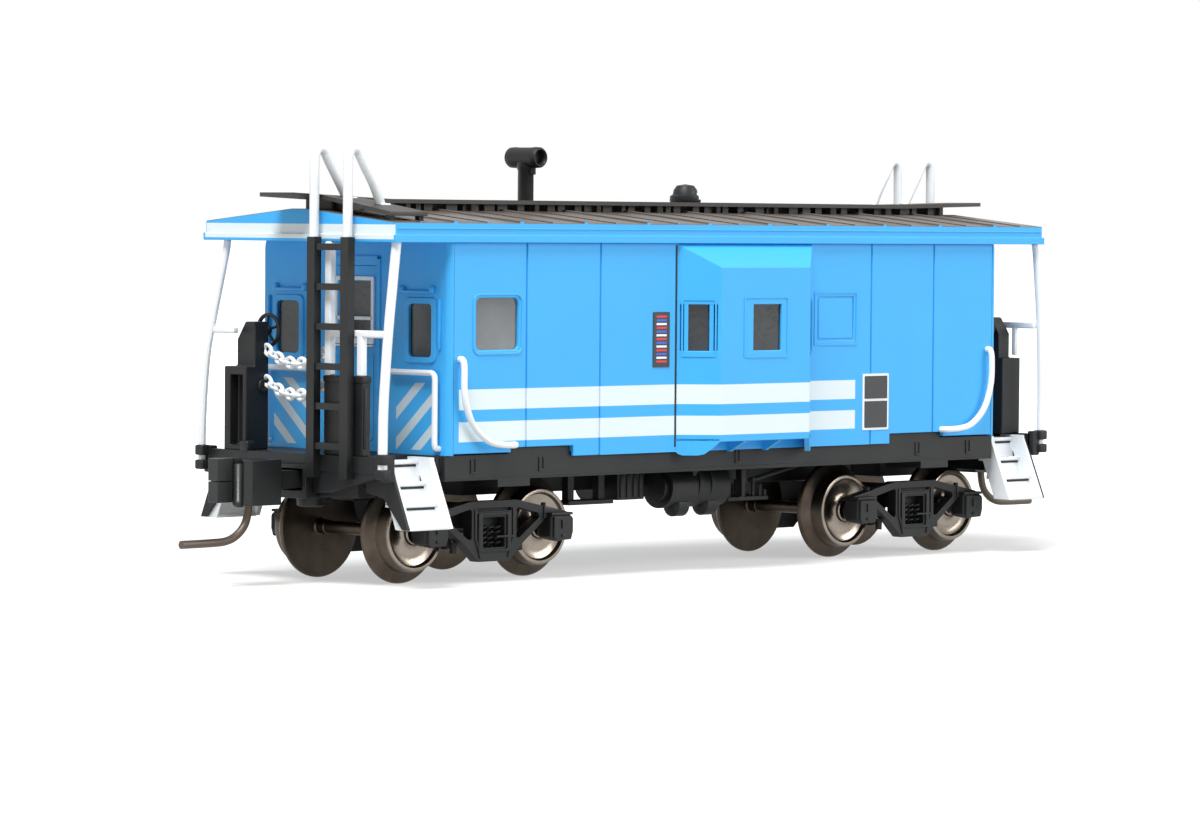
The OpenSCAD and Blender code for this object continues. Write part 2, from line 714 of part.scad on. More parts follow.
// Side frame seen from outside, with its two openings and the spring window.
module side_frame() {
  half = wheelbase / 2;
  low = axle_z - 0.6;
  foot = 1.45;
  difference() {
    union() {
      polygon([
        [-half - 1.1, axle_z + 1.2], [-2.2, 5.5], [2.2, 5.5], [half + 1.1, axle_z + 1.2],
        [half - 1.05, axle_z + 0.45], [2.6, 2.45], [foot, 1.4],
        [-foot, 1.4], [-2.6, 2.45], [1.05 - half, axle_z + 0.45]
      ]);
      for (s = [-1, 1]) translate([s * half - 1.1, low]) square([2.2, axle_z + 1.2 - low]);
    }
    for (s = [-1, 1]) polygon([
      [s * 2.1, 4.95], [s * 2.1, 2.95], [s * 2.45, 2.9], [s * (half - 1.65), 4.2],
      [s * (half - 1.7), 4.5]
    ]);
    translate([-1.03, 2.35]) square([2.06, 2]);
  }
}

module truck_pin() {
  color("#4c4e50") translate([-truck_x, 0, 0]) {
    translate([0, 0, 3.4]) cylinder(d = pin_d, h = pin_top - 3.4);
    translate([0, 0, 2.9]) cylinder(d = 2.6, h = 0.55);
  }
}

// Both wheels and the axle, one turned piece.
module wheelset(x) {
  rt = wheel_d / 2;
  rf = flange_d / 2;
  end = frame_in + 0.85;
  half = [
    [0, axle_d / 2], [wheel_in - 0.5, axle_d / 2], [wheel_in, 0.8], [wheel_in, rf - 0.1],
    [wheel_in + 0.12, rf], [wheel_in + 0.4, rf - 0.03], [wheel_in + 0.6, rt + 0.15],
    [wheel_in + 0.75, rt + 0.04], [wheel_out, rt - 0.04], [wheel_out, rt - 0.32],
    [wheel_out - 0.35, rt - 0.42], [wheel_out - 0.35, 0.85], [wheel_out - 0.05, 0.75],
    [wheel_out - 0.05, journal_d / 2], [end - 0.2, journal_d / 2], [end, 0.05], [end, 0]
  ];
  profile = concat(half, [[0, 0]]);
  color("#6d665d") translate([x, 0, axle_z]) for (s = [0, 1]) mirror([0, s, 0])
    rotate([-90, 0, 0]) rotate_extrude($fn = 72) polygon([for (p = profile) [p[1], p[0]]]);
}

// ---------------------------------------------------------------- assembly

underframe();
color("#2a86cf") side_wall();  // side_wall_left
color("#2a86cf") at_end(true) side_wall();  // side_wall_right
color("#2a86cf") end_wall();  // end_wall_front
color("#2a86cf") at_end(true) end_wall();  // end_wall_rear
color("#2a86cf") bay();  // bay_left
color("#2a86cf") at_end(true) bay();  // bay_right
color("#2a86cf") door();  // door_front
color("#2a86cf") at_end(true) door();  // door_rear
glazing();
roof();
running_board();
smokestack();
roof_vent();
weight();
steps();  // steps_front_left
mirror([0, 1, 0]) steps();  // steps_front_right
mirror([1, 0, 0]) steps();  // steps_rear_left
at_end(true) steps();  // steps_rear_right
ladder();  // ladder_front
at_end(true) ladder();  // ladder_rear
ladder_top();  // ladder_top_front
at_end(true) ladder_top();  // ladder_top_rear
end_rail();  // end_rail_front
at_end(true) end_rail();  // end_rail_rear
brake_stand();  // brake_stand_front
at_end(true) brake_stand();  // brake_stand_rear
brake_wheel();  // brake_wheel_front
at_end(true) brake_wheel();  // brake_wheel_rear
platform_box();  // platform_box_front
at_end(true) platform_box();  // platform_box_rear
chains();  // chains_front
at_end(true) chains();  // chains_rear
grab_irons();  // grab_irons_front
at_end(true) grab_irons();  // grab_irons_rear
air_reservoir();
brake_cylinder();
control_valve();
brake_rigging();
coupler_box();  // coupler_box_front
at_end(true) coupler_box();  // coupler_box_rear
coupler();  // coupler_front
at_end(true) coupler();  // coupler_rear
trip_pin();  // trip_pin_front
at_end(true) trip_pin();  // trip_pin_rear
truck_frame();  // truck_frame_front
at_end(true) truck_frame();  // truck_frame_rear
truck_pin();  // truck_pin_front
at_end(true) truck_pin();  // truck_pin_rear
wheelset(-truck_x - wheelbase / 2);  // wheelset_1
wheelset(-truck_x + wheelbase / 2);  // wheelset_2
wheelset(truck_x - wheelbase / 2);  // wheelset_3
wheelset(truck_x + wheelbase / 2);  // wheelset_4
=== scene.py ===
import math
import random

import bpy
from mathutils import Matrix, Vector


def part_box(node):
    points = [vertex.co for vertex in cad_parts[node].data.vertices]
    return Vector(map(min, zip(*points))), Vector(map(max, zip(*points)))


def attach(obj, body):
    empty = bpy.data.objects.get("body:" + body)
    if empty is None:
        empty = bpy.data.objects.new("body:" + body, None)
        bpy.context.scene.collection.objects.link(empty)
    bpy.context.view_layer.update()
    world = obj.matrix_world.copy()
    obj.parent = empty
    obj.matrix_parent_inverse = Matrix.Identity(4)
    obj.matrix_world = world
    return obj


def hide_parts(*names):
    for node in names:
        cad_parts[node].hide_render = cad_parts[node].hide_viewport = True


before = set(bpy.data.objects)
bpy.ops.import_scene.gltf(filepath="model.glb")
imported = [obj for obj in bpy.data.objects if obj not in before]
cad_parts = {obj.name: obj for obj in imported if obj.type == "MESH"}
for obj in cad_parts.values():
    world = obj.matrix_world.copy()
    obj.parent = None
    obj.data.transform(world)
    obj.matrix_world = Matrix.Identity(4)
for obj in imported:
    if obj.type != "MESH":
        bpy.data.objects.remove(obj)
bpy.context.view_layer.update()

# ---- Camera ----
# A long lens, low down and well back, looks at the front left corner of the car.
# The little shift keeps the car where it stands in the frame.
look_from = Vector((-0.25946, -0.25141, 0.02433))
heading, dip, lean = math.radians(45.657), math.radians(-1.989), math.radians(0.4615)
ahead = Vector((math.sin(heading) * math.cos(dip), math.cos(heading) * math.cos(dip), math.sin(dip)))
level = Vector((math.cos(heading), -math.sin(heading), 0))
upward = level.cross(ahead)
side = level * math.cos(lean) + upward * math.sin(lean)
top = upward * math.cos(lean) - level * math.sin(lean)
lens = bpy.data.cameras.new("camera")
lens.lens = 153.01
lens.sensor_width = 36
lens.shift_x = -0.01694
lens.shift_y = -0.00845
lens.clip_start = 0.01
lens.clip_end = 50
camera = bpy.data.objects.new("camera", lens)
bpy.context.scene.collection.objects.link(camera)
camera.matrix_world = Matrix((
    (side.x, top.x, -ahead.x, look_from.x),
    (side.y, top.y, -ahead.y, look_from.y),
    (side.z, top.z, -ahead.z, look_from.z),
    (0, 0, 0, 1)))
bpy.context.scene.camera = camera

# ---- Studio ----
# A white table and an even white surround. One broad soft lamp stands on the left side of the car, towards
# its rear, and one high in front of its left corner, so that the end wall lies in the roof's shade.
bpy.context.scene.view_settings.view_transform = "Standard"


def linear(code):
    """The linear colour of an sRGB hex code."""
    parts = [int(code[i:i + 2], 16) / 255 for i in (1, 3, 5)]
    return (*[c / 12.92 if c <= 0.04045 else ((c + 0.055) / 1.055) ** 2.4 for c in parts], 1)


def add(tree, kind, sockets=None, **settings):
    """Adds a node with its settings. A socket takes a value, or a link from another node's output."""
    made = tree.nodes.new(kind)
    for name, value in settings.items():
        setattr(made, name, value)
    for place, value in (sockets or {}).items():
        if isinstance(value, bpy.types.NodeSocket):
            tree.links.new(value, made.inputs[place])
        else:
            made.inputs[place].default_value = value
    return made


bpy.ops.object.select_all(action="DESELECT")
bpy.ops.mesh.primitive_plane_add(size=8, location=(0, 0, 0))
table = bpy.context.object
table.name = "table"
# Matt white paper: its shade keeps the car's shadow, and away from the car it reads as plain white.
paper = bpy.data.materials.new("matt white paper")
paper.use_nodes = True
tree = paper.node_tree
tree.nodes.clear()
place = add(tree, "ShaderNodeTexCoord")
away = add(tree, "ShaderNodeVectorMath", {0: place.outputs["Object"]}, operation="LENGTH")
fade = add(tree, "ShaderNodeMapRange", {
    "Value": away.outputs["Value"], "From Min": 0.045, "From Max": 0.2, "To Min": 0.5, "To Max": 1.0})
seen = add(tree, "ShaderNodeLightPath")
shown = add(tree, "ShaderNodeMath", {0: seen.outputs["Is Camera Ray"], 1: seen.outputs["Is Glossy Ray"]},
            operation="MAXIMUM")
glow = add(tree, "ShaderNodeMath", {0: shown.outputs[0], 1: fade.outputs[0]}, operation="MULTIPLY")
both = add(tree, "ShaderNodeAddShader", {
    0: add(tree, "ShaderNodeBsdfDiffuse", {"Color": linear("#b8b8b6")}).outputs[0],
    1: add(tree, "ShaderNodeEmission", {"Strength": glow.outputs[0]}).outputs[0]})
add(tree, "ShaderNodeOutputMaterial", {"Surface": both.outputs[0]})
table.data.materials.append(paper)

world = bpy.data.worlds.new("surround")
bpy.context.scene.world = world
world.use_nodes = True
tree = world.node_tree
tree.nodes.clear()
seen = add(tree, "ShaderNodeLightPath")
shown = add(tree, "ShaderNodeMath", {0: seen.outputs["Is Camera Ray"], 1: seen.outputs["Is Glossy Ray"]},
            operation="MAXIMUM")
shown = add(tree, "ShaderNodeMath", {0: shown.outputs[0], 1: seen.outputs["Is Transmission Ray"]},
            operation="MAXIMUM")
level_of = add(tree, "ShaderNodeMapRange", {"Value": shown.outputs[0], "To Min": 0.38, "To Max": 1.0})
sky = add(tree, "ShaderNodeBackground", {"Color": linear("#ffffff"), "Strength": level_of.outputs[0]})
add(tree, "ShaderNodeOutputWorld", {"Surface": sky.outputs[0]})


def lamp(name, at, aim, size, watts):
    light = bpy.data.lights.new(name, "AREA")
    light.shape = "DISK"
    light.size = size
    light.energy = watts
    holder = bpy.data.objects.new(name, light)
    bpy.context.scene.collection.objects.link(holder)
    holder.location = at
    holder.rotation_mode = "QUATERNION"
    holder.rotation_quaternion = (Vector(aim) - Vector(at)).to_track_quat("-Z", "Y")


lamp("side_lamp", (0.46, -0.63, 0.38), (0, 0, 0.012), 0.5, 3.9)
lamp("front_lamp", (-0.42, -0.2, 0.82), (0, 0, 0.012), 0.45, 12.5)

# ---- Floor, sills and end beams ----
# The floor casting of black styrene, moulded in one with its side sills, bolsters and end beams.
# Small stake pockets stand on the sills, and the edges are a little rounded, as moulded ones are.


def select(*pieces):
    """Leaves only these pieces selected, the first of them active."""
    bpy.ops.object.select_all(action="DESELECT")
    for piece in pieces:
        piece.select_set(True)
    bpy.context.view_layer.objects.active = pieces[0]


def corners(node):
    """The low and high corner of a frame node, in millimetres."""
    return [corner * 1000 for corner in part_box(node)]


def from_node(node):
    """A copy of a frame node with its loose triangles merged into plain faces, in millimetres."""
    made = bpy.data.objects.new(node + "_copy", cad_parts[node].data.copy())
    bpy.context.scene.collection.objects.link(made)
    select(made)
    made.scale = (1000, 1000, 1000)
    bpy.ops.object.transform_apply(location=True, rotation=True, scale=True)
    bpy.ops.object.mode_set(mode="EDIT")
    bpy.ops.mesh.select_all(action="SELECT")
    bpy.ops.mesh.remove_doubles(threshold=0.002)
    bpy.ops.mesh.dissolve_limited(angle_limit=math.radians(1))
    bpy.ops.object.mode_set(mode="OBJECT")
    made.data.materials.clear()
    return made


def block(low, high):
    """A block from one corner to the other."""
    bpy.ops.object.select_all(action="DESELECT")
    bpy.ops.mesh.primitive_cube_add(
        size=1, location=[(a + b) / 2 for a, b in zip(low, high)], scale=[abs(b - a) for a, b in zip(low, high)])
    bpy.ops.object.transform_apply(location=True, rotation=True, scale=True)
    return bpy.context.object


def plate(outline, shift):
    """A flat outline of points in space, extruded by a shift into a closed plate."""
    bpy.ops.object.select_all(action="DESELECT")
    bpy.ops.mesh.primitive_circle_add(vertices=len(outline), radius=1, fill_type="NGON")
    made = bpy.context.object
    for corner, point in zip(made.data.vertices, outline):
        corner.co = point
    bpy.ops.object.mode_set(mode="EDIT")
    bpy.ops.mesh.select_all(action="SELECT")
    bpy.ops.mesh.extrude_region_move(TRANSFORM_OT_translate={"value": shift})
    bpy.ops.mesh.select_all(action="SELECT")
    bpy.ops.mesh.normals_make_consistent(inside=False)
    bpy.ops.object.mode_set(mode="OBJECT")
    return made


def join(*parts):
    """The parts as one piece, each still closed in itself."""
    select(*parts)
    if len(parts) > 1:
        bpy.ops.object.join()
    return bpy.context.object


def soften(piece, width, segments=2, angle=35):
    """Rounds the sharp edges of a piece by a bevel."""
    select(piece)
    change = piece.modifiers.new("rounding", "BEVEL")
    change.width = width
    change.segments = segments
    change.limit_method = "ANGLE"
    change.angle_limit = math.radians(angle)
    bpy.ops.object.modifier_apply(modifier=change.name)
    return piece


def cut(piece, *tools):
    """Takes the tools' shapes out of the piece."""
    for tool in tools:
        select(piece)
        change = piece.modifiers.new("cut", "BOOLEAN")
        change.operation = "DIFFERENCE"
        change.solver = "EXACT"
        change.object = tool
        bpy.ops.object.modifier_apply(modifier=change.name)
        bpy.data.objects.remove(tool)
    return piece


def turned_round(piece):
    """A copy of the piece for the other end: half a turn about the middle of the car."""
    select(piece)
    bpy.ops.object.duplicate()
    made = bpy.context.object
    made.rotation_euler = (0, 0, math.pi)
    bpy.ops.object.transform_apply(location=True, rotation=True, scale=True)
    return made


def fit(piece, name, finish, slot, body, *nodes, angle=35):
    """Brings a finished piece to size and place, and hangs it on its body."""
    select(piece)
    piece.name = piece.data.name = name
    piece.scale = (0.001, 0.001, 0.001)
    bpy.ops.object.transform_apply(location=True, rotation=True, scale=True)
    bpy.ops.object.shade_smooth_by_angle(angle=math.radians(angle))
    # Keeps the broad faces flat and the shading soft only on their rounded edges
    bpy.ops.object.modifier_add(type="WEIGHTED_NORMAL")
    piece.modifiers[-1].keep_sharp = True
    bpy.ops.object.modifier_apply(modifier=piece.modifiers[-1].name)
    piece.data.materials.clear()
    piece.data.materials.append(finish)
    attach(piece, body)
    if nodes:
        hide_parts(*nodes)
    return piece


def both_ends(piece, name, finish, slot, node, angle=35):
    """Fits the piece at the front end, and a turned copy of it at the rear end."""
    other = turned_round(piece)
    fit(piece, name + "_at_front", finish, slot, "car", node + "_front", angle=angle)
    fit(other, name + "_at_rear", finish, slot, "car", node + "_rear", angle=angle)


def grain(tree, shader, scale, height, low, high):
    """Gives a shader a fine moulded grain, and a roughness that wanders between two values."""
    place = add(tree, "ShaderNodeTexCoord")
    fine = add(tree, "ShaderNodeTexNoise", {
        "Vector": place.outputs["Object"], "Scale": scale, "Detail": 3.0, "Roughness": 0.55})
    bump = add(tree, "ShaderNodeBump", {"Strength": 0.35, "Distance": height, "Height": fine.outputs[0]})
    wide = add(tree, "ShaderNodeTexNoise", {
        "Vector": place.outputs["Object"], "Scale": scale / 12, "Detail": 2.0})
    rough = add(tree, "ShaderNodeMapRange", {
        "Value": wide.outputs[0], "From Min": 0.35, "From Max": 0.65, "To Min": low, "To Max": high})
    tree.links.new(bump.outputs[0], shader.inputs["Normal"])
    tree.links.new(rough.outputs[0], shader.inputs["Roughness"])
    return place, wide


# Black injection-moulded styrene: a soft dark grey with a satin skin and a faint grain of about 0.4 mm.
black_styrene = bpy.data.materials.new("black moulded styrene")
black_styrene.use_nodes = True
tree = black_styrene.node_tree
shader = tree.nodes["Principled BSDF"]
shader.inputs["IOR"].default_value = 1.38
place, wide = grain(tree, shader, 2400, 0.00003, 0.42, 0.58)
shade = add(tree, "ShaderNodeMix", {
    "Factor": wide.outputs[0], "A": linear("#101112"), "B": linear("#1c1d1f")}, data_type="RGBA")
tree.links.new(shade.outputs["Result"], shader.inputs["Base Color"])

floor = from_node("underframe")
sill_low, sill_high = corners("underframe")
pockets = []
sill_face = corners("side_wall_left")[0].y + 0.3
for x in (-25.2, -18.85, 0.4, 19.5, 25.1):
    for dx in (-0.26, 0.14):
        pockets.append(block((x + dx, sill_face - 0.07, 7.55), (x + dx + 0.12, sill_face + 0.1, 8.4)))
    pockets.append(block((x - 0.26, sill_face - 0.09, 7.45), (x + 0.26, sill_face + 0.1, 7.6)))
pockets = join(*pockets)
lip = block((-27.75, sill_face - 0.04, 7.15), (27.75, sill_face + 0.1, 7.26))
near = join(pockets, lip)
far = turned_round(near)
fit(soften(join(floor, near, far), 0.05), "floor_and_sills", black_styrene, "black_plastic", "car", "underframe")

# ---- Side walls ----
# Each wall is one styrene moulding, sprayed sky blue, with scribed seams, a plated-over window and one
# glazed window with rounded corners. Two white bands are printed along the foot of each side.


def rounded(a0, b0, a1, b1, radius, steps=4):
    """The corners of a rounded rectangle, as pairs."""
    points = []
    for (a, b), start in (((a1 - radius, b1 - radius), 0), ((a0 + radius, b1 - radius), 90),
                          ((a0 + radius, b0 + radius), 180), ((a1 - radius, b0 + radius), 270)):
        for i in range(steps + 1):
            angle = math.radians(start + 90 * i / steps)
            points.append((a + radius * math.cos(angle), b + radius * math.sin(angle)))
    return points


# Sky blue satin enamel on styrene: an even clear blue, a little dusty in the sheen. The white bands, the
# striped panels at the ends and the white line under the roof are printed on it with crisp edges.
blue_enamel = bpy.data.materials.new("sky blue satin enamel")
blue_enamel.use_nodes = True
tree = blue_enamel.node_tree
shader = tree.nodes["Principled BSDF"]
shader.inputs["IOR"].default_value = 1.5
place, wide = grain(tree, shader, 3000, 0.00002, 0.42, 0.52)
ground = add(tree, "ShaderNodeMix", {
    "Factor": wide.outputs[0], "A": linear("#31a1e4"), "B": linear("#39a8e9")}, data_type="RGBA")
mm = add(tree, "ShaderNodeVectorMath", {0: place.outputs["Object"], 1: (1000, 1000, 1000)}, operation="MULTIPLY")
at = add(tree, "ShaderNodeSeparateXYZ", {0: mm.outputs[0]})
x, y, z = at.outputs
flank = add(tree, "ShaderNodeMath", {0: y}, operation="SIGN")
along = add(tree, "ShaderNodeMath", {0: x, 1: flank.outputs[0]}, operation="MULTIPLY")
out_y = add(tree, "ShaderNodeMath", {0: y}, operation="ABSOLUTE")
out_x = add(tree, "ShaderNodeMath", {0: x}, operation="ABSOLUTE")
on_side = add(tree, "ShaderNodeMath", {0: out_y.outputs[0], 1: 9.0}, operation="GREATER_THAN")
bands_x = add(tree, "ShaderNodeMath", {0: along.outputs[0], 1: 7.25, 2: 19.58}, operation="COMPARE")
band_1 = add(tree, "ShaderNodeMath", {0: z, 1: 12.375, 2: 0.675}, operation="COMPARE")
band_2 = add(tree, "ShaderNodeMath", {0: z, 1: 10.24, 2: 0.66}, operation="COMPARE")
bands = add(tree, "ShaderNodeMath", {0: band_1.outputs[0], 1: band_2.outputs[0]}, operation="MAXIMUM")
bands = add(tree, "ShaderNodeMath", {0: bands.outputs[0], 1: bands_x.outputs[0]}, operation="MULTIPLY")
bands = add(tree, "ShaderNodeMath", {0: bands.outputs[0], 1: on_side.outputs[0]}, operation="MULTIPLY")
on_brow = add(tree, "ShaderNodeMath", {0: out_x.outputs[0], 1: 32.75}, operation="GREATER_THAN")
brow_z = add(tree, "ShaderNodeMath", {0: z, 1: 23.42, 2: 0.48}, operation="COMPARE")
brow_y = add(tree, "ShaderNodeMath", {0: out_y.outputs[0], 1: 9.3}, operation="LESS_THAN")
brow = add(tree, "ShaderNodeMath", {0: on_brow.outputs[0], 1: brow_z.outputs[0]}, operation="MULTIPLY")
brow = add(tree, "ShaderNodeMath", {0: brow.outputs[0], 1: brow_y.outputs[0]}, operation="MULTIPLY")
white = add(tree, "ShaderNodeMath", {0: bands.outputs[0], 1: brow.outputs[0]}, operation="MAXIMUM")
# Striped panels beside the doors: height less 0.893 of the distance outwards, in steps of 2.03 mm
slope = add(tree, "ShaderNodeMath", {0: out_y.outputs[0], 1: -0.893, 2: z}, operation="MULTIPLY_ADD")
steps = add(tree, "ShaderNodeMath", {0: slope.outputs[0], 1: 5.18}, operation="SUBTRACT")
steps = add(tree, "ShaderNodeMath", {0: steps.outputs[0], 1: 2.03}, operation="DIVIDE")
part = add(tree, "ShaderNodeMath", {0: steps.outputs[0]}, operation="FRACT")
bars = add(tree, "ShaderNodeMath", {0: part.outputs[0], 1: 0.404}, operation="LESS_THAN")
few = add(tree, "ShaderNodeMath", {0: steps.outputs[0], 1: 0.5, 2: 1.5}, operation="COMPARE")
panel_y = add(tree, "ShaderNodeMath", {0: out_y.outputs[0], 1: 6.07, 2: 1.87}, operation="COMPARE")
panel_z = add(tree, "ShaderNodeMath", {0: z, 1: 11.23, 2: 2.22}, operation="COMPARE")
panel_x = add(tree, "ShaderNodeMath", {0: out_x.outputs[0], 1: 27.8, 2: 0.03}, operation="COMPARE")
bars = add(tree, "ShaderNodeMath", {0: bars.outputs[0], 1: few.outputs[0]}, operation="MULTIPLY")
bars = add(tree, "ShaderNodeMath", {0: bars.outputs[0], 1: panel_y.outputs[0]}, operation="MULTIPLY")
bars = add(tree, "ShaderNodeMath", {0: bars.outputs[0], 1: panel_z.outputs[0]}, operation="MULTIPLY")
bars = add(tree, "ShaderNodeMath", {0: bars.outputs[0], 1: panel_x.outputs[0]}, operation="MULTIPLY")
printed = add(tree, "ShaderNodeMix", {
    "Factor": white.outputs[0], "A": ground.outputs["Result"], "B": linear("#d4e1e7")}, data_type="RGBA")
printed = add(tree, "ShaderNodeMix", {
    "Factor": bars.outputs[0], "A": printed.outputs["Result"], "B": linear("#c3d3dc")}, data_type="RGBA")
tree.links.new(printed.outputs["Result"], shader.inputs["Base Color"])

wall = from_node("side_wall_left")
wall_low, wall_high = corners("side_wall_left")
soften(wall, 0.05)
face = wall_low.y
frame_ring = plate([(a, face + 0.03, b) for a, b in rounded(-25.42, 15.48, -21.18, 19.22, 0.4)], (0, 0.72, 0))
lip = plate([(a, face - 0.07, b) for a, b in rounded(-25.62, 15.3, -20.98, 19.4, 0.55)], (0, 0.2, 0))
cut(lip, plate([(a, face - 0.5, b) for a, b in rounded(-25.46, 15.46, -21.14, 19.24, 0.45)], (0, 1, 0)))
cut(frame_ring, plate([(a, face - 0.5, b) for a, b in rounded(-25.25, 15.63, -21.35, 19.08, 0.38)], (0, 2, 0)))
# Thin edge round the plated window
edge = plate([(a, face - 0.05, b) for a, b in rounded(7.9, 15.55, 12.45, 19.35, 0.1)], (0, 0.1, 0))
cut(edge, plate([(a, face - 0.5, b) for a, b in rounded(8.02, 15.67, 12.33, 19.23, 0.06)], (0, 1, 0)))
wall = join(wall, soften(frame_ring, 0.06), soften(lip, 0.04), edge)
other = turned_round(wall)
fit(wall, "wall_left", blue_enamel, "blue_plastic", "car", "side_wall_left")
fit(other, "wall_right", blue_enamel, "blue_plastic", "car", "side_wall_right")

# ---- Printed plates ----
# On each side a dark plate with plain coloured bars, and a pair of dark panels in a white border. They are
# printed films a twentieth of a millimetre thick. They carry no lettering.
dark_film = bpy.data.materials.new("dark printed film")
dark_film.use_nodes = True
tree = dark_film.node_tree
shader = tree.nodes["Principled BSDF"]
shader.inputs["IOR"].default_value = 1.5
place, wide = grain(tree, shader, 3000, 0.00001, 0.4, 0.5)
mm = add(tree, "ShaderNodeVectorMath", {0: place.outputs["Object"], 1: (1000, 1000, 1000)}, operation="MULTIPLY")
x, y, z = add(tree, "ShaderNodeSeparateXYZ", {0: mm.outputs[0]}).outputs
flank = add(tree, "ShaderNodeMath", {0: y}, operation="SIGN")
along = add(tree, "ShaderNodeMath", {0: x, 1: flank.outputs[0]}, operation="MULTIPLY")
rows = add(tree, "ShaderNodeMath", {0: z, 1: 3.9, 2: 0.15}, operation="MULTIPLY_ADD")
row = add(tree, "ShaderNodeMath", {0: rows.outputs[0]}, operation="FRACT")
line = add(tree, "ShaderNodeMath", {0: row.outputs[0], 1: 0.55}, operation="LESS_THAN")
bar_x = add(tree, "ShaderNodeMath", {0: along.outputs[0], 1: 7.68, 2: 0.5}, operation="COMPARE")
bar_z = add(tree, "ShaderNodeMath", {0: z, 1: 16.15, 2: 1.65}, operation="COMPARE")
line = add(tree, "ShaderNodeMath", {0: line.outputs[0], 1: bar_x.outputs[0]}, operation="MULTIPLY")
line = add(tree, "ShaderNodeMath", {0: line.outputs[0], 1: bar_z.outputs[0]}, operation="MULTIPLY")
count = add(tree, "ShaderNodeMath", {0: rows.outputs[0]}, operation="FLOOR")
third = add(tree, "ShaderNodeMath", {0: count.outputs[0], 1: 3.0}, operation="MODULO")
hue = add(tree, "ShaderNodeValToRGB", {
    0: add(tree, "ShaderNodeMath", {0: third.outputs[0], 1: 3.0}, operation="DIVIDE").outputs[0]})
hue.color_ramp.interpolation = "CONSTANT"
hue.color_ramp.elements[0].color = linear("#d42a2e")
hue.color_ramp.elements[1].position = 0.3
hue.color_ramp.elements[1].color = linear("#e6eaee")
last = hue.color_ramp.elements.new(0.6)
last.color = linear("#2f5fc4")
shade = add(tree, "ShaderNodeMix", {
    "Factor": line.outputs[0], "A": linear("#27292c"), "B": hue.outputs[0]}, data_type="RGBA")
tree.links.new(shade.outputs["Result"], shader.inputs["Base Color"])

# White satin enamel on styrene and wire: a clean white, faintly warm in its thick places.
white_enamel = bpy.data.materials.new("white satin enamel")
white_enamel.use_nodes = True
tree = white_enamel.node_tree
shader = tree.nodes["Principled BSDF"]
shader.inputs["IOR"].default_value = 1.5
place, wide = grain(tree, shader, 2600, 0.00002, 0.36, 0.48)
shade = add(tree, "ShaderNodeMix", {
    "Factor": wide.outputs[0], "A": linear("#dfe3e6"), "B": linear("#e9edf0")}, data_type="RGBA")
tree.links.new(shade.outputs["Result"], shader.inputs["Base Color"])

bar_plate = plate([(a, face - 0.05, b) for a, b in rounded(-8.5, 14.25, -6.88, 18.04, 0.06)], (0, 0.1, 0))
panels = join(*[
    plate([(a, face - 0.07, b) for a, b in rounded(13.3, low, 15.72, high, 0.05)], (0, 0.1, 0))
    for low, high in ((9.6, 11.5), (11.68, 13.3))])
border = plate([(a, face - 0.04, b) for a, b in rounded(13.12, 9.44, 15.9, 13.46, 0.06)], (0, 0.1, 0))
films = {"left": (bar_plate, panels, border), "right": [turned_round(piece) for piece in (bar_plate, panels, border)]}
for side_name, (bar_plate, panels, border) in films.items():
    fit(bar_plate, "bar_plate_" + side_name, dark_film, "black_plastic", "car")
    fit(panels, "panels_" + side_name, dark_film, "black_plastic", "car")
    fit(border, "panel_border_" + side_name, white_enamel, "white_plastic", "car")

# ---- Bays ----
# The lookout bay on each side is its own blue moulding let into the wall: a flat front with slanted
# sides and a sloping top, thin frames round the windows, and two little brackets under it.
bay = from_node("bay_left")
bay_low, bay_high = corners("bay_left")
front = bay_low.y
soften(bay, 0.06)
middle = (bay_low.x + bay_high.x) / 2
half, half_front = (bay_high.x - bay_low.x) / 2, (bay_high.x - bay_low.x) / 2 - 2.35
extras = []
rim = plate([(a, front - 0.05, b) for a, b in rounded(middle - 2.25, 14.85, middle + 2.25, 19.1, 0.12)], (0, 0.1, 0))
cut(rim, plate([(a, front - 0.5, b) for a, b in rounded(middle - 2.12, 14.98, middle + 2.12, 18.97, 0.08)], (0, 1, 0)))
extras.append(rim)
for s in (-1, 1):
    wall_corner = Vector((middle + s * half, face, 0))
    front_corner = Vector((middle + s * half_front, front, 0))
    run = front_corner - wall_corner
    inward = Vector((-s * abs(run.y), abs(run.x), 0)).normalized()
    skirt = [(0.0, 9.3), (0.0, 8.42), (0.06, 8.25), (0.16, 8.16), (0.5, 8.16), (0.64, 8.24), (0.82, 8.62),
             (1.0, 9.12), (1.0, 9.3)]
    extras.append(plate([wall_corner + run * t + Vector((0, 0, height)) for t, height in skirt], inward * 0.35))
    hole = [(0.5 + a / run.length, b) for a, b in rounded(-1.22, 14.95, 1.22, 18.95, 0.1)]
    inner = [(0.5 + a / run.length, b) for a, b in rounded(-1.1, 15.07, 1.1, 18.83, 0.08)]
    rim = plate([wall_corner + run * t + Vector((0, 0, height)) - inward * 0.05 for t, height in hole], inward * 0.1)
    cut(rim, plate([wall_corner + run * t + Vector((0, 0, height)) - inward * 0.5 for t, height in inner], inward))
    extras.append(rim)
    # Narrow jambs at both edges of the slanted window
    for edge_0, edge_1 in ((-1.02, -0.74), (0.74, 1.02)):
        jamb = [(0.5 + a / run.length, b) for a, b in ((edge_0, 15.0), (edge_1, 15.0), (edge_1, 18.9), (edge_0, 18.9))]
        extras.append(plate([wall_corner + run * t + Vector((0, 0, height)) + inward * 0.02 for t, height in jamb],
                            inward * 0.4))
extras.append(block((middle - 1.68, front + 0.02, 15.0), (middle - 1.28, front + 0.4, 18.9)))
for x in (-0.9, 2.7):
    extras.append(plate([(x, face + 0.1, 9.2), (x, face + 0.1, 8.3), (x, face - 0.15, 8.3), (x, front + 0.2, 9.2)],
                        (0.3, 0, 0)))
bay = join(bay, *extras)
other = turned_round(bay)
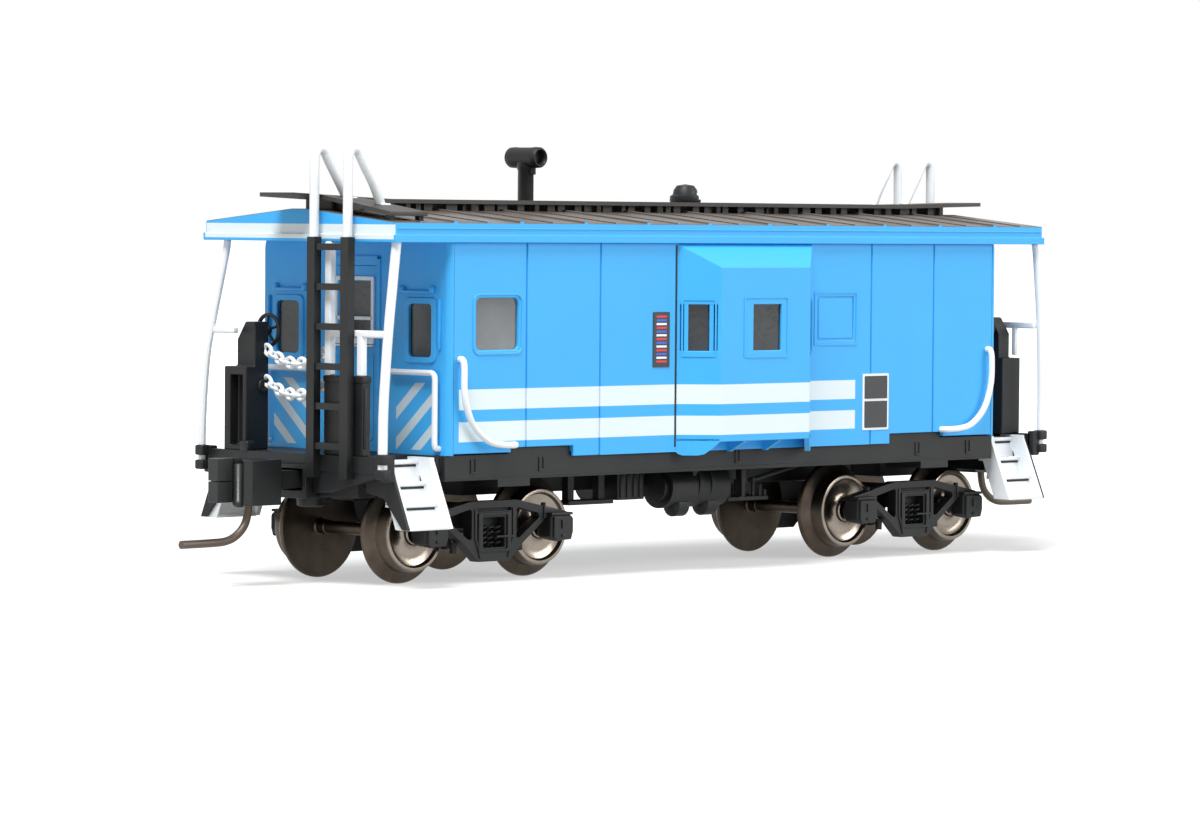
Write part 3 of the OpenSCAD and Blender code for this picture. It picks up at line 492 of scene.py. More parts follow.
fit(bay, "lookout_bay_left", blue_enamel, "blue_plastic", "car", "bay_left")
fit(other, "lookout_bay_right", blue_enamel, "blue_plastic", "car", "bay_right")

# Black strip where the moulding meets the wall, on one edge of the bay: painted shade in place of the gap's shadow
gap = soften(block((bay_low.x - 0.15, face - 0.03, 8.75), (bay_low.x, face + 0.1, bay_high.z - 0.1)), 0.01, 1)
other = turned_round(gap)
fit(gap, "bay_shade_strip_left", black_styrene, "black_plastic", "car")
fit(other, "bay_shade_strip_right", black_styrene, "black_plastic", "car")

# ---- End walls ----
# The two end walls carry the door, two windows with raised frames under drip rails, and the striped
# panels. Their outer corners are well rounded, and they are painted like the sides.


def edges_where(piece, test):
    """Enters edit mode with only the edges selected whose middle and direction pass the test."""
    select(piece)
    bpy.ops.object.mode_set(mode="EDIT")
    bpy.ops.mesh.select_mode(type="EDGE")
    bpy.ops.mesh.select_all(action="DESELECT")
    bpy.ops.object.mode_set(mode="OBJECT")
    for edge in piece.data.edges:
        a, b = [piece.data.vertices[i].co for i in edge.vertices]
        edge.select = test((a + b) / 2, (b - a).normalized())
    bpy.ops.object.mode_set(mode="EDIT")


end_wall = from_node("end_wall_front")
end_low, end_high = corners("end_wall_front")
end_face = end_low.x
edges_where(end_wall, lambda at, way: abs(way.z) > 0.99 and at.x < end_face + 0.02 and abs(at.y) > end_high.y - 0.02)
bpy.ops.mesh.bevel(offset=0.4, segments=6, affect="EDGES")
bpy.ops.object.mode_set(mode="OBJECT")
trims = []
for s in (-1, 1):
    frame_ring = plate([(end_face - 0.14, s * a, b) for a, b in rounded(4.95, 14.75, 8.05, 19.1, 0.45)], (0.3, 0, 0))
    cut(frame_ring, plate([(end_face - 1, s * a, b) for a, b in rounded(5.4, 15.16, 7.6, 18.68, 0.3)], (2, 0, 0)))
    trims.append(soften(frame_ring, 0.09, 3))
    inner = plate([(end_face + 0.02, s * a, b) for a, b in rounded(5.2, 15.0, 7.8, 18.9, 0.3)], (0.6, 0, 0))
    cut(inner, plate([(end_face - 1, s * a, b) for a, b in rounded(5.4, 15.16, 7.6, 18.68, 0.3)], (3, 0, 0)))
    trims.append(inner)
    trims.append(soften(block((end_face - 0.26, s * 4.75, 19.36), (end_face + 0.1, s * 7.75, 19.58)), 0.07))
    for y in (4.8, 7.7):
        knob = block((end_face - 0.3, s * y - 0.2, 19.36), (end_face + 0.1, s * y + 0.2, 19.86))
        trims.append(soften(knob, 0.13, 3))
    trims.append(soften(block((end_face - 0.2, s * 8.3, 15.67), (end_face + 0.1, s * 8.52, 19.02)), 0.07))
    trims.append(soften(block((end_face - 0.1, s * 2.34, 8.75), (end_face + 0.1, s * 2.62, 21.8)), 0.04))
trims.append(soften(block((end_face - 0.1, -2.62, 21.55), (end_face + 0.1, 2.62, 21.83)), 0.04))
both_ends(join(end_wall, *trims), "end_wall_and_trim", blue_enamel, "blue_plastic", "end_wall")

# ---- Doors ----
# The end door is a plain blue leaf a little behind the wall, with a shallow panel in its lower half.
# A white frame with two white bars across it is set round the door's window.
door = soften(from_node("door_front"), 0.04)
door_low, door_high = corners("door_front")
rail = plate([(door_low.x - 0.05, a, b) for a, b in rounded(-1.85, 9.5, 1.85, 15.3, 0.2)], (0.1, 0, 0))
cut(rail, plate([(door_low.x - 0.5, a, b) for a, b in rounded(-1.7, 9.65, 1.7, 15.15, 0.15)], (1, 0, 0)))
both_ends(join(door, rail), "door_leaf", blue_enamel, "blue_plastic", "door")

door_face = door_low.x
guard = plate([(door_face - 0.14, a, b) for a, b in rounded(-1.92, 15.9, 1.92, 20.42, 0.1)], (0.16, 0, 0))
cut(guard, plate([(door_face - 0.6, a, b) for a, b in rounded(-1.66, 16.28, 1.66, 20.16, 0.06)], (1, 0, 0)))
guard = join(soften(guard, 0.03), soften(block((door_face - 0.14, -1.8, 17.5), (door_face + 0.2, 1.8, 17.74)), 0.03),
             soften(block((door_face - 0.2, -1.9, 15.72), (door_face + 0.02, 1.9, 15.84)), 0.03))
other = turned_round(guard)
fit(guard, "door_window_frame_at_front", white_enamel, "white_plastic", "car")
fit(other, "door_window_frame_at_rear", white_enamel, "white_plastic", "car")

# ---- Glazing ----
# One clear styrene moulding fills the windows from inside. Its grey is a painted reflection of the bright
# surround with a soft sheen, painted lighter towards the foot of the panes and in uneven patches.
glazing_plastic = bpy.data.materials.new("clear glazing with painted reflection and shade")
glazing_plastic.use_nodes = True
tree = glazing_plastic.node_tree
shader = tree.nodes["Principled BSDF"]
shader.inputs["IOR"].default_value = 1.5
shader.inputs["Coat Roughness"].default_value = 0.06
place, wide = grain(tree, shader, 1800, 0.00004, 0.12, 0.3)
mm = add(tree, "ShaderNodeVectorMath", {0: place.outputs["Object"], 1: (1000, 1000, 1000)}, operation="MULTIPLY")
x, y, z = add(tree, "ShaderNodeSeparateXYZ", {0: mm.outputs[0]}).outputs
# Painted reflection: each pane is drawn lighter towards its foot, in soft uneven patches
reflection_fade = add(tree, "ShaderNodeMapRange", {"Value": z, "From Min": 15.0, "From Max": 19.5, "To Min": 0.75, "To Max": 0.1})
cloud = add(tree, "ShaderNodeTexNoise", {"Vector": place.outputs["Object"], "Scale": 320.0, "Detail": 3.0})
reflection_share = add(tree, "ShaderNodeMath", {0: reflection_fade.outputs[0], 1: cloud.outputs[0]}, operation="MULTIPLY")
shade = add(tree, "ShaderNodeMix", {
    "Factor": reflection_share.outputs[0], "A": linear("#4c5053"), "B": linear("#8d9498")}, data_type="RGBA")
# The panes of the bays and ends are painted much darker, nearly black: painted shade, where the side panes carry the
# painted reflection
out = add(tree, "ShaderNodeMath", {0: y}, operation="ABSOLUTE")
in_bay = add(tree, "ShaderNodeMath", {0: out.outputs[0], 1: 9.0}, operation="GREATER_THAN")
along = add(tree, "ShaderNodeMath", {0: x}, operation="ABSOLUTE")
in_end = add(tree, "ShaderNodeMath", {0: along.outputs[0], 1: 25.9}, operation="GREATER_THAN")
dark = add(tree, "ShaderNodeMath", {0: in_bay.outputs[0], 1: in_end.outputs[0]}, operation="MAXIMUM")
deep = add(tree, "ShaderNodeMix", {
    "Factor": cloud.outputs[0], "A": linear("#0b0e11"), "B": linear("#343a3e")}, data_type="RGBA")
shade = add(tree, "ShaderNodeMix", {
    "Factor": dark.outputs[0], "A": shade.outputs["Result"], "B": deep.outputs["Result"]}, data_type="RGBA")
skin = add(tree, "ShaderNodeMapRange", {"Value": dark.outputs[0], "To Min": 0.6, "To Max": 0.0})
tree.links.new(skin.outputs[0], shader.inputs["Coat Weight"])
tree.links.new(shade.outputs["Result"], shader.inputs["Base Color"])
panes = [soften(from_node("glazing"), 0.03, 1)]
# Panes brought close to the face in the windows of the sides, bay fronts and ends
for s in (-1, 1):
    panes.append(block((-s * 25.3, s * (face + 0.22), 15.6), (-s * 21.3, s * (face + 0.36), 19.12)))
    panes.append(block((s * middle - 2.0, s * (front + 0.18), 14.98), (s * middle + 2.0, s * (front + 0.32), 18.95)))
    for t in (-1, 1):
        panes.append(block((-s * (end_face + 0.12), t * 5.3, 15.05), (-s * (end_face + 0.3), t * 7.7, 18.8)))
for turn in (0, 1):
    for s in (-1, 1):
        wall_corner = Vector((middle + s * half, face, 0))
        front_corner = Vector((middle + s * half_front, front, 0))
        run = front_corner - wall_corner
        inward = Vector((-s * abs(run.y), abs(run.x), 0)).normalized()
        pane = [wall_corner + run * (0.5 + a / run.length) + inward * 0.5 + Vector((0, 0, b))
                for a, b in rounded(-1.1, 15.1, 1.1, 18.8, 0.1)]
        if turn:
            pane = [Vector((-point.x, -point.y, point.z)) for point in pane]
            inward = -inward
        panes.append(plate(pane, inward * 0.25))
fit(join(*panes), "window_panes", glazing_plastic, "dark_glazing", "car", "glazing")

# ---- Roof ----
# The roof is one moulding: blue fascia all round with a white line printed across each end, and a dark
# grey top of pressed panels between ribs, which stand a little proud at the eaves.
# Grey enamel: matt dark warm grey, with lighter and darker streaks down the panels that are a painted sheen.
roof_grey = bpy.data.materials.new("grey roof enamel with painted sheen")
roof_grey.use_nodes = True
tree = roof_grey.node_tree
shader = tree.nodes["Principled BSDF"]
place, wide = grain(tree, shader, 2600, 0.00004, 0.34, 0.55)
sheen_stretch = add(tree, "ShaderNodeMapping", {"Vector": place.outputs["Object"], "Scale": (1.0, 0.08, 0.3)})
sheen_streak = add(tree, "ShaderNodeTexNoise", {"Vector": sheen_stretch.outputs[0], "Scale": 900.0, "Detail": 3.0})
shade = add(tree, "ShaderNodeMix", {
    "Factor": sheen_streak.outputs[0], "A": linear("#38332f"), "B": linear("#625a54")}, data_type="RGBA")
tree.links.new(shade.outputs["Result"], shader.inputs["Base Color"])

roof = from_node("roof")
roof_low, roof_high = corners("roof")
seams = []
eave = roof_low.z
for s in (-1, 1):
    # Pressed lines along the fascia
    seams.append(soften(block((roof_low.x + 0.2, s * (roof_high.y - 0.2), eave + 0.86),
                              (roof_high.x - 0.2, s * (roof_high.y - 0.06), eave + 0.96)), 0.03, 1))
    # Bead along the ridge beside the walk, and low beads midway between the ribs
    for i in range(-5, 6):
        x = i * 6.08
        outer, inner = roof_high.y - 0.2, 1.9
        drop = 0.85 / (roof_high.y - 0.12 - 0.8)
        heights = [eave + 1.3 + 0.85 - drop * (y - 0.8) for y in (inner, outer)]
        seams.append(plate([(x - 0.1, s * inner, heights[0] - 0.1), (x - 0.1, s * outer, heights[1] - 0.1),
                            (x - 0.1, s * outer, heights[1] + 0.06), (x - 0.1, s * inner, heights[0] + 0.06)],
                           (0.2, 0, 0)))
roof = join(soften(roof, 0.04, 2, 25), *seams)
fit(roof, "roof_and_fascia", blue_enamel, "roof_grey", "car", "roof")
roof.data.materials.append(roof_grey)
for side_face in roof.data.polygons:
    at = side_face.center * 1000
    on_rib = abs(side_face.normal.x) > 0.6 and abs(at.x) < roof_high.x - 0.3 and at.z > eave + 1.3
    if (side_face.normal.z > 0.3 and at.z > eave + 1.0) or on_rib:
        side_face.material_index = 1

# ---- Running board ----
# A brown-grey plastic walk on short blocks, moulded as an open metal grating: slots cross it every
# millimetre, drawn as darker colour on its top, a painted shade in the openings, and the edges are a little ragged.
walk_plastic = bpy.data.materials.new("brown grey moulded grating")
walk_plastic.use_nodes = True
tree = walk_plastic.node_tree
shader = tree.nodes["Principled BSDF"]
place, wide = grain(tree, shader, 2200, 0.00005, 0.45, 0.6)
mm = add(tree, "ShaderNodeVectorMath", {0: place.outputs["Object"], 1: (1000, 1000, 1000)}, operation="MULTIPLY")
x, y, z = add(tree, "ShaderNodeSeparateXYZ", {0: mm.outputs[0]}).outputs
slots = []
for axis, pitch, share in ((x, 1.25, 0.72), (y, 3.1, 0.8)):
    step = add(tree, "ShaderNodeMath", {0: axis, 1: pitch}, operation="MULTIPLY")
    step = add(tree, "ShaderNodeMath", {0: step.outputs[0]}, operation="FRACT")
    slots.append(add(tree, "ShaderNodeMath", {0: step.outputs[0], 1: share}, operation="LESS_THAN").outputs[0])
# The slots are not cut: this mask paints them darker on the upward faces, as painted shade
hole = add(tree, "ShaderNodeMath", {0: slots[0], 1: slots[1]}, operation="MULTIPLY")
up = add(tree, "ShaderNodeNewGeometry")
facing = add(tree, "ShaderNodeSeparateXYZ", {0: up.outputs["True Normal"]})
flat = add(tree, "ShaderNodeMath", {0: facing.outputs[2], 1: 0.9}, operation="GREATER_THAN")
hole = add(tree, "ShaderNodeMath", {0: hole.outputs[0], 1: flat.outputs[0]}, operation="MULTIPLY")
solid = add(tree, "ShaderNodeMix", {
    "Factor": wide.outputs[0], "A": linear("#25221f"), "B": linear("#37332f")}, data_type="RGBA")
shade = add(tree, "ShaderNodeMix", {
    "Factor": hole.outputs[0], "A": solid.outputs["Result"], "B": linear("#1d1b19")}, data_type="RGBA")
tree.links.new(shade.outputs["Result"], shader.inputs["Base Color"])
walk = soften(from_node("running_board"), 0.04)
walk_low, walk_high = corners("running_board")
# Ragged ribs under the walk, of uneven widths
dice = random.Random(11)
ribs = []
x = -31.0
while x < 31.0:
    wide_rib = dice.uniform(0.35, 1.05)
    ribs.append(block((x, -1.2, walk_high.z - 0.8), (x + wide_rib, 1.3, walk_high.z - 0.2)))
    x += wide_rib + dice.choice((0.3, 0.55, 1.0, 1.3))
walk = join(walk, *ribs)
# The ends of the long board are a little lifted
select(walk)
bpy.ops.object.mode_set(mode="EDIT")
bpy.ops.mesh.select_all(action="SELECT")
bpy.ops.mesh.bisect(plane_co=(-26, 0, 0), plane_no=(1, 0, 0))
bpy.ops.mesh.select_all(action="SELECT")
bpy.ops.mesh.bisect(plane_co=(26, 0, 0), plane_no=(1, 0, 0))
bpy.ops.object.mode_set(mode="OBJECT")
for corner in walk.data.vertices:
    if corner.co.z > walk_high.z - 0.5:
        corner.co.z += max(0, abs(corner.co.x) - 26) * (0.04 if corner.co.x < 0 else 0.025)
fit(walk, "running_board_grating", walk_plastic, "walk_grey", "car", "running_board")

# ---- Smokestack and vent ----
# Two small black mouldings plugged into the roof on the far side of the walk: a stack with a T head,
# open at both ends, and a low hooded vent.


def spun(outline, axis, middle, steps=48):
    """A round body spun about an axis from its half outline of (place along the axis, radius)."""
    bpy.ops.object.select_all(action="DESELECT")
    bpy.ops.mesh.primitive_circle_add(vertices=len(outline), radius=1, fill_type="NOTHING")
    made = bpy.context.object
    along = {"x": Vector((1, 0, 0)), "y": Vector((0, 1, 0)), "z": Vector((0, 0, 1))}[axis]
    outward = Vector((1, 0, 0)) if axis == "z" else Vector((0, 0, 1))
    middle = Vector(middle)
    for corner, (place_on, radius) in zip(made.data.vertices, outline):
        corner.co = middle + along * place_on + outward * radius
    bpy.ops.object.mode_set(mode="EDIT")
    bpy.ops.mesh.select_all(action="SELECT")
    bpy.ops.mesh.spin(steps=steps, angle=math.tau, center=middle, axis=along)
    bpy.ops.mesh.select_all(action="SELECT")
    bpy.ops.mesh.remove_doubles(threshold=0.002)
    bpy.ops.mesh.delete_loose()
    bpy.ops.mesh.select_all(action="SELECT")
    bpy.ops.mesh.normals_make_consistent(inside=False)
    bpy.ops.object.mode_set(mode="OBJECT")
    return made


stack_low, stack_high = corners("smokestack")
stack_x, stack_y = (stack_low.x + stack_high.x) / 2, (stack_low.y + stack_high.y) / 2
head_z = stack_high.z - 0.725
tube = spun([(stack_low.z, 0), (stack_low.z, 0.62), (stack_low.z + 0.55, 0.62), (stack_low.z + 0.62, 0.56),
             (head_z - 0.9, 0.56), (head_z - 0.8, 0.62), (head_z - 0.3, 0.64), (head_z, 0)],
            "z", (stack_x, stack_y, 0), 32)
head = spun([(-0.95, 0), (-0.95, 0.42), (-1.42, 0.5), (-1.5, 0.56), (-1.5, 0.64), (-1.38, 0.72), (-1.0, 0.74),
             (-0.55, 0.71), (0.55, 0.71), (1.0, 0.74), (1.38, 0.72), (1.5, 0.64), (1.5, 0.56), (1.42, 0.5),
             (0.95, 0.42), (0.95, 0)], "y", (stack_x, stack_y, head_z), 40)
brace = soften(block((stack_x - 0.12, stack_y - 0.9, head_z - 1.2), (stack_x + 0.12, stack_y + 0.2, head_z - 0.5)), 0.04)
fit(join(tube, head, brace), "stack_with_t_head", black_styrene, "black_plastic", "car", "smokestack")

vent_low, vent_high = corners("roof_vent")
vent_x, vent_y = (vent_low.x + vent_high.x) / 2, (vent_low.y + vent_high.y) / 2
neck = spun([(vent_low.z, 0), (vent_low.z, 0.82), (vent_low.z + 1.1, 0.78), (vent_low.z + 1.2, 0)],
            "z", (vent_x, vent_y, 0), 32)
hood = spun([(vent_high.z - 1.5, 0), (vent_high.z - 1.5, 0.7), (vent_high.z - 1.42, 1.05), (vent_high.z - 1.2, 1.14),
             (vent_high.z - 0.85, 1.1), (vent_high.z - 0.75, 0.92), (vent_high.z - 0.4, 0.84),
             (vent_high.z - 0.1, 0.62), (vent_high.z, 0)], "z", (vent_x, vent_y, 0), 32)
cut(hood, block((vent_x + 0.15, vent_y - 1.4, vent_high.z - 1.1), (vent_x + 1.3, vent_y - 0.35, vent_high.z - 0.62)))
fit(join(neck, hood), "hooded_vent", black_styrene, "black_plastic", "car", "roof_vent")

# ---- Steps ----
# Each corner has a flight of steps: white treads and risers between two cheeks, which are white inside
# and black outside. Under the lip of each tread a black strip stands in for the shade there: painted shade.
step_low, step_high = corners("steps_front_left")
x0, x1 = step_low.x, step_high.x
run_y = step_low.y
top_z, foot_z = step_high.z, step_low.z


def flight():
    """White treads, risers and cheek linings, then black cheeks and the black strips of painted shade under the lips,
    of the front left steps.
    """
    white_parts, black_parts = [], []
    lean = [(-8.38, top_z), (-8.38, 8.42), (run_y, foot_z), (run_y + 1.44, foot_z), (-7.43, 7.38), (-6.2, 7.38),
            (-6.2, top_z)]
    lining = [(a, b) if i in (0, 6) else (a - 0.02, b) for i, (a, b) in enumerate(lean)]
    # The outer cheek is a wide gusset whose inner edge leans in to the foot
    gusset = lean[:3] + [(run_y + 0.55, foot_z), (-7.9, 6.0), (-6.2, 6.35), (-6.2, top_z)]
    black_parts.append(plate([(x0, a, b) for a, b in gusset], (0.24, 0, 0)))
    white_parts.append(plate([(x1 - 0.36, a, b) for a, b in lean], (0.36, 0, 0)))
    white_parts.append(plate([(x0 + 0.24, a, b) for a, b in lining], (0.14, 0, 0)))
    # Noses of the treads, from the foot up: the rise of each stands over the back of the one below
    noses = [(run_y, foot_z + 0.22), (-9.1, 5.67), (-8.05, 7.0), (-7.28, 8.42)]
    for i, (nose, height) in enumerate(noses):
        back = noses[i + 1][0] + 0.3 if i < 3 else -6.2
        tread = block((x0 + 0.3, nose - 0.05, height - 0.26), (x1 - 0.3, back, height))
        white_parts.append(soften(tread, 0.05))
        if i == 0:
            continue
        floor_z = noses[i - 1][1] - 0.1
        riser = [(nose + 0.02, height - 0.1), (nose - 0.1, floor_z), (nose + 0.25, floor_z), (nose + 0.25, height - 0.1)]
        white_parts.append(plate([(x0 + 0.3, a, b) for a, b in riser], (x1 - x0 - 0.6, 0, 0)))
        # Black strip under the lip, a painted shade where the nose overhangs the riser
        black_parts.append(block((x0 + 0.55, nose - 0.06, height - 0.44), (x1 - 0.62, nose + 0.1, height - 0.28)))
    return join(*white_parts), join(*black_parts)


white_steps, cheeks_and_shade_strips = flight()
soften(cheeks_and_shade_strips, 0.03, 1)
for corner_name in ("front_left", "front_right", "rear_left", "rear_right"):
    for piece, part_name, finish, slot_name in (
            (white_steps, "treads_", white_enamel, "white_plastic"),
            (cheeks_and_shade_strips, "step_cheeks_and_shade_strips_", black_styrene, "black_plastic")):
        select(piece)
        bpy.ops.object.duplicate()
        made = bpy.context.object
        if corner_name.endswith("_right"):
            made.scale.y = -1
        if corner_name.startswith("rear"):
            made.scale.x = -1
        bpy.ops.object.transform_apply(location=True, rotation=True, scale=True)
        bpy.ops.object.mode_set(mode="EDIT")
        bpy.ops.mesh.select_all(action="SELECT")
        bpy.ops.mesh.normals_make_consistent(inside=False)
        bpy.ops.object.mode_set(mode="OBJECT")
        fit(made, part_name + corner_name, finish, slot_name, "car", "steps_" + corner_name)
for piece in (white_steps, cheeks_and_shade_strips):
    bpy.data.objects.remove(piece)

# ---- End ladders ----
# Black moulded ladder with six square rungs, hung on the end beam. Its upper part is a separate white
# wire moulding that bends over and leans back down to the roof walk.
both_ends(soften(from_node("ladder_front"), 0.09), "ladder_stiles_and_rungs", black_styrene, "black_plastic", "ladder")


def eased(points, radius, steps=6):
    """The path with each of its corners turned into a bend."""
    points = [Vector(point) for point in points]
    path = [points[0]]
    for before, here, after in zip(points, points[1:], points[2:]):
        a = here + (before - here).normalized() * min(radius, (before - here).length * 0.48)
        b = here + (after - here).normalized() * min(radius, (after - here).length * 0.48)
        for i in range(steps + 1):
            t = i / steps
            path.append(a * (1 - t) ** 2 + here * 2 * t * (1 - t) + b * t * t)
    path.append(points[-1])
    return path


def wire(points, thick, round_steps=3):
    """A round wire along the points, closed at both ends."""
    bpy.ops.object.select_all(action="DESELECT")
    bpy.ops.curve.primitive_nurbs_path_add()
    made = bpy.context.object
    made.data.splines.clear()
    line = made.data.splines.new("POLY")
    line.points.add(len(points) - 1)
    for knot, point in zip(line.points, points):
        knot.co = (*point, 1)
    made.data.bevel_depth = thick / 2
    made.data.bevel_resolution = round_steps
    made.data.use_fill_caps = True
    bpy.ops.object.convert(target="MESH")
    made = bpy.context.object
    bpy.ops.object.mode_set(mode="EDIT")
    bpy.ops.mesh.select_all(action="SELECT")
    bpy.ops.mesh.remove_doubles(threshold=0.002)
    bpy.ops.mesh.normals_make_consistent(inside=False)
    bpy.ops.object.mode_set(mode="OBJECT")
    return made


arch_low, arch_high = corners("ladder_top_front")
arch_x = arch_low.x + 0.3
walk_top = corners("running_board")[1].z
arches = []
for y in (arch_low.y + 0.3, arch_high.y - 0.3):
    foot = walk_top - 0.124 * max(0, -1.55 - y)
    path = [(arch_x, y, arch_low.z), (arch_x, y, arch_high.z - 1.3), (arch_x + 0.1, y, arch_high.z - 0.3),
            (arch_x + 0.8, y, arch_high.z - 0.2), (arch_x + 1.2, y, arch_high.z - 0.95),
            (arch_x + 2.4, y, arch_high.z - 2.7), (arch_x + 2.95, y, foot + 0.02)]
    arches.append(wire(eased(path, 0.8, 8), 0.66, 4))
    arches.append(soften(block((arch_x + 2.7, y - 0.4, foot - 0.02), (arch_x + 3.5, y + 0.4, foot + 0.16)), 0.05))
both_ends(join(*arches), "ladder_arches", white_enamel, "white_plastic", "ladder_top")

# ---- End rails ----
# White posts stand on little black feet on the face of each end beam and bend back under the roof. A mid
# rail joins them to the inner post; a short bar hangs down to the low cabinet.
rail_low, rail_high = corners("end_rail_front")
cabinet_low, cabinet_high = corners("platform_box_front")
stand_low, stand_high = corners("brake_stand_front")
rail_z = 16.72
post_x = rail_low.x + 0.35


def rails(far_post, reach):
    """The white posts and rails of one end. The far post's line, and the far rail's reach, are given."""
    parts = [wire(eased([(post_x, -8.85, 7.3), (post_x, -8.9, 12.0), (post_x + 0.28, -9.0, rail_z),
                         (-32.4, -8.98, 22.2), (-32.3, -8.95, 22.75)], 1.6), 0.64),
             wire(eased(far_post, 1.8), 0.5)]
    inner_y = cabinet_high.y - 0.4
    parts.append(soften(block((-32.95, -8.9, rail_z - 0.24), (-32.45, inner_y, rail_z + 0.24)), 0.12, 3))
    parts.append(soften(block((-33.0, inner_y - 0.3, cabinet_high.z), (-32.45, inner_y + 0.3, 22.75)), 0.12, 3))
    hanging = plate([(-32.95, cabinet_low.y + 0.05, cabinet_high.z), (-32.95, cabinet_low.y + 0.62, cabinet_high.z),
                     (-32.95, cabinet_low.y + 0.62, rail_z), (-32.95, cabinet_low.y + 0.05, rail_z)], (0.5, 0, 0))
    parts.append(soften(hanging, 0.12, 3))
    parts.append(soften(block((-32.95, stand_high.y - reach, rail_z - 0.22), (-32.5, 8.85, rail_z + 0.22)), 0.1, 3))
    return join(*parts)


front_rails = rails([(post_x, 9.0, 7.3), (post_x, 8.95, 11.0), (post_x + 0.15, 8.75, 15.0), (-32.95, 8.6, rail_z),
                     (-32.3, 7.75, 22.2), (-32.3, 7.7, 22.75)], 1.0)
straight_rails = rails([(post_x, 8.9, 7.3), (post_x, 8.92, 12.0), (post_x + 0.2, 8.95, rail_z),
                        (-32.6, 8.95, 22.1), (-32.45, 8.95, 22.75)], 1.7)
straight_rails = join(straight_rails, soften(block((-32.85, 6.75, 14.5), (-32.5, 7.1, rail_z)), 0.08))
rear_rails = turned_round(straight_rails)
bpy.data.objects.remove(straight_rails)
fit(front_rails, "white_rails_at_front", white_enamel, "white_plastic", "car", "end_rail_front")
fit(rear_rails, "white_rails_at_rear", white_enamel, "white_plastic", "car", "end_rail_rear")
feet = []
for s in (-1, 1):
    for low, high in ((7.3, 7.95), (8.25, 8.95)):
        feet.append(soften(block((post_x - 0.42, s * 8.5, low), (-32.95, s * 9.3, high)), 0.13, 3))
    feet.append(soften(block((-33.15, s * 8.45, 7.1), (-32.4, s * 9.05, 8.9)), 0.1))
feet = join(*feet)
other = turned_round(feet)
fit(feet, "post_feet_at_front", black_styrene, "black_plastic", "car")
fit(other, "post_feet_at_rear", black_styrene, "black_plastic", "car")

# ---- Brake stands and wheels ----
# A tall black housing stands on each platform, slotted in its foot and chamfered at its head, and a small
# five-spoked hand wheel is set on its inner face.
housing = soften(from_node("brake_stand_front"), 0.1, 3)
boss = spun([(0, 0), (0, 0.42), (-0.08, 0.45), (-0.14, 0.4), (-0.14, 0.3), (-0.04, 0.26), (-0.02, 0)],
            "y", (stand_high.x - 0.55, stand_low.y, 13.0), 24)
clip = soften(block((stand_low.x - 0.25, stand_low.y - 0.45, 8.6), (stand_low.x + 0.5, stand_low.y + 0.4, 9.35)), 0.15, 3)
both_ends(join(housing, boss, clip), "brake_housing", black_styrene, "black_plastic", "brake_stand")

wheel_low, wheel_high = corners("brake_wheel_front")
hub = Vector(((wheel_low.x + wheel_high.x) / 2, (wheel_low.y + wheel_high.y) / 2, (wheel_low.z + wheel_high.z) / 2))
rim_r = (wheel_high.z - wheel_low.z) / 2 - 0.15
bpy.ops.object.select_all(action="DESELECT")
bpy.ops.mesh.primitive_torus_add(location=(wheel_high.x - 0.17, hub.y, hub.z), rotation=(0, math.pi / 2, 0),
                                 major_radius=rim_r, minor_radius=0.14, major_segments=40, minor_segments=10)
bpy.ops.object.transform_apply(location=True, rotation=True, scale=True)
parts = [bpy.context.object]
for i in range(5):
    angle = math.radians(72 * i + 18)
    tip = Vector((wheel_high.x - 0.17, hub.y + rim_r * math.cos(angle), hub.z + rim_r * math.sin(angle)))
    parts.append(wire([(wheel_high.x - 0.3, hub.y, hub.z), tip], 0.2, 2))
parts.append(spun([(wheel_low.x, 0), (wheel_low.x, 0.3), (wheel_high.x - 0.4, 0.28), (wheel_high.x - 0.36, 0.34),
                   (wheel_high.x - 0.16, 0.34), (wheel_high.x - 0.1, 0.26), (wheel_high.x - 0.06, 0)],
                  "x", (0, hub.y, hub.z), 24))
both_ends(join(*parts), "hand_wheel", black_styrene, "black_plastic", "brake_wheel")

# ---- Low cabinets ----
# A shallow black locker behind each ladder. It has a lid line and a hinge strip on its outer edge.
locker = soften(from_node("platform_box_front"), 0.08)
lid = soften(block((cabinet_low.x - 0.06, cabinet_low.y - 0.05, cabinet_high.z - 0.45),
                   (cabinet_high.x + 0.05, cabinet_high.y + 0.03, cabinet_high.z - 0.02)), 0.06)
hinge = soften(block((cabinet_low.x + 0.1, cabinet_low.y - 0.12, 9.2), (cabinet_low.x + 0.35, cabinet_low.y + 0.1, 13.2)), 0.05)
both_ends(join(locker, lid, hinge), "low_locker", black_styrene, "black_plastic", "platform_box")

# ---- Chains ----
# Two sagging rows of oval links across each end, moulded in one and painted white. The links lie flat
# and on edge by turns.
start = Vector((stand_high.x - 0.3, stand_low.y + 0.02, 0))
finish_at = Vector((-32.7, cabinet_high.y - 0.12, 0))
span = finish_at - start
heading_z = math.atan2(span.y, span.x)
links = []
count = 11
for high in (15.55, 13.45):
    for i in range(count):
        t = (i + 0.5) / count
        spot = start + span * t + Vector((0, 0, high - 0.95 * 4 * t * (1 - t)))
        slant = math.atan((0.95 * 4 * (2 * t - 1)) / span.length)
        bpy.ops.object.select_all(action="DESELECT")
        bpy.ops.mesh.primitive_torus_add(major_radius=0.33, minor_radius=0.13, major_segments=20, minor_segments=8)
        link = bpy.context.object
        flat_turn = math.pi / 2 if i % 2 == 0 else 0.35
        size = (1.5, 1.0, 1.0) if i % 2 == 0 else (1.5, 0.62, 1.0)
        link.matrix_world = (Matrix.Translation(spot) @ Matrix.Rotation(heading_z, 4, "Z")
                             @ Matrix.Rotation(-slant, 4, "Y") @ Matrix.Rotation(flat_turn, 4, "X")
                             @ Matrix.Diagonal((*size, 1)))
        bpy.ops.object.transform_apply(location=True, rotation=True, scale=True)
        links.append(link)
both_ends(join(*links), "end_chains", white_enamel, "white_plastic", "chains")

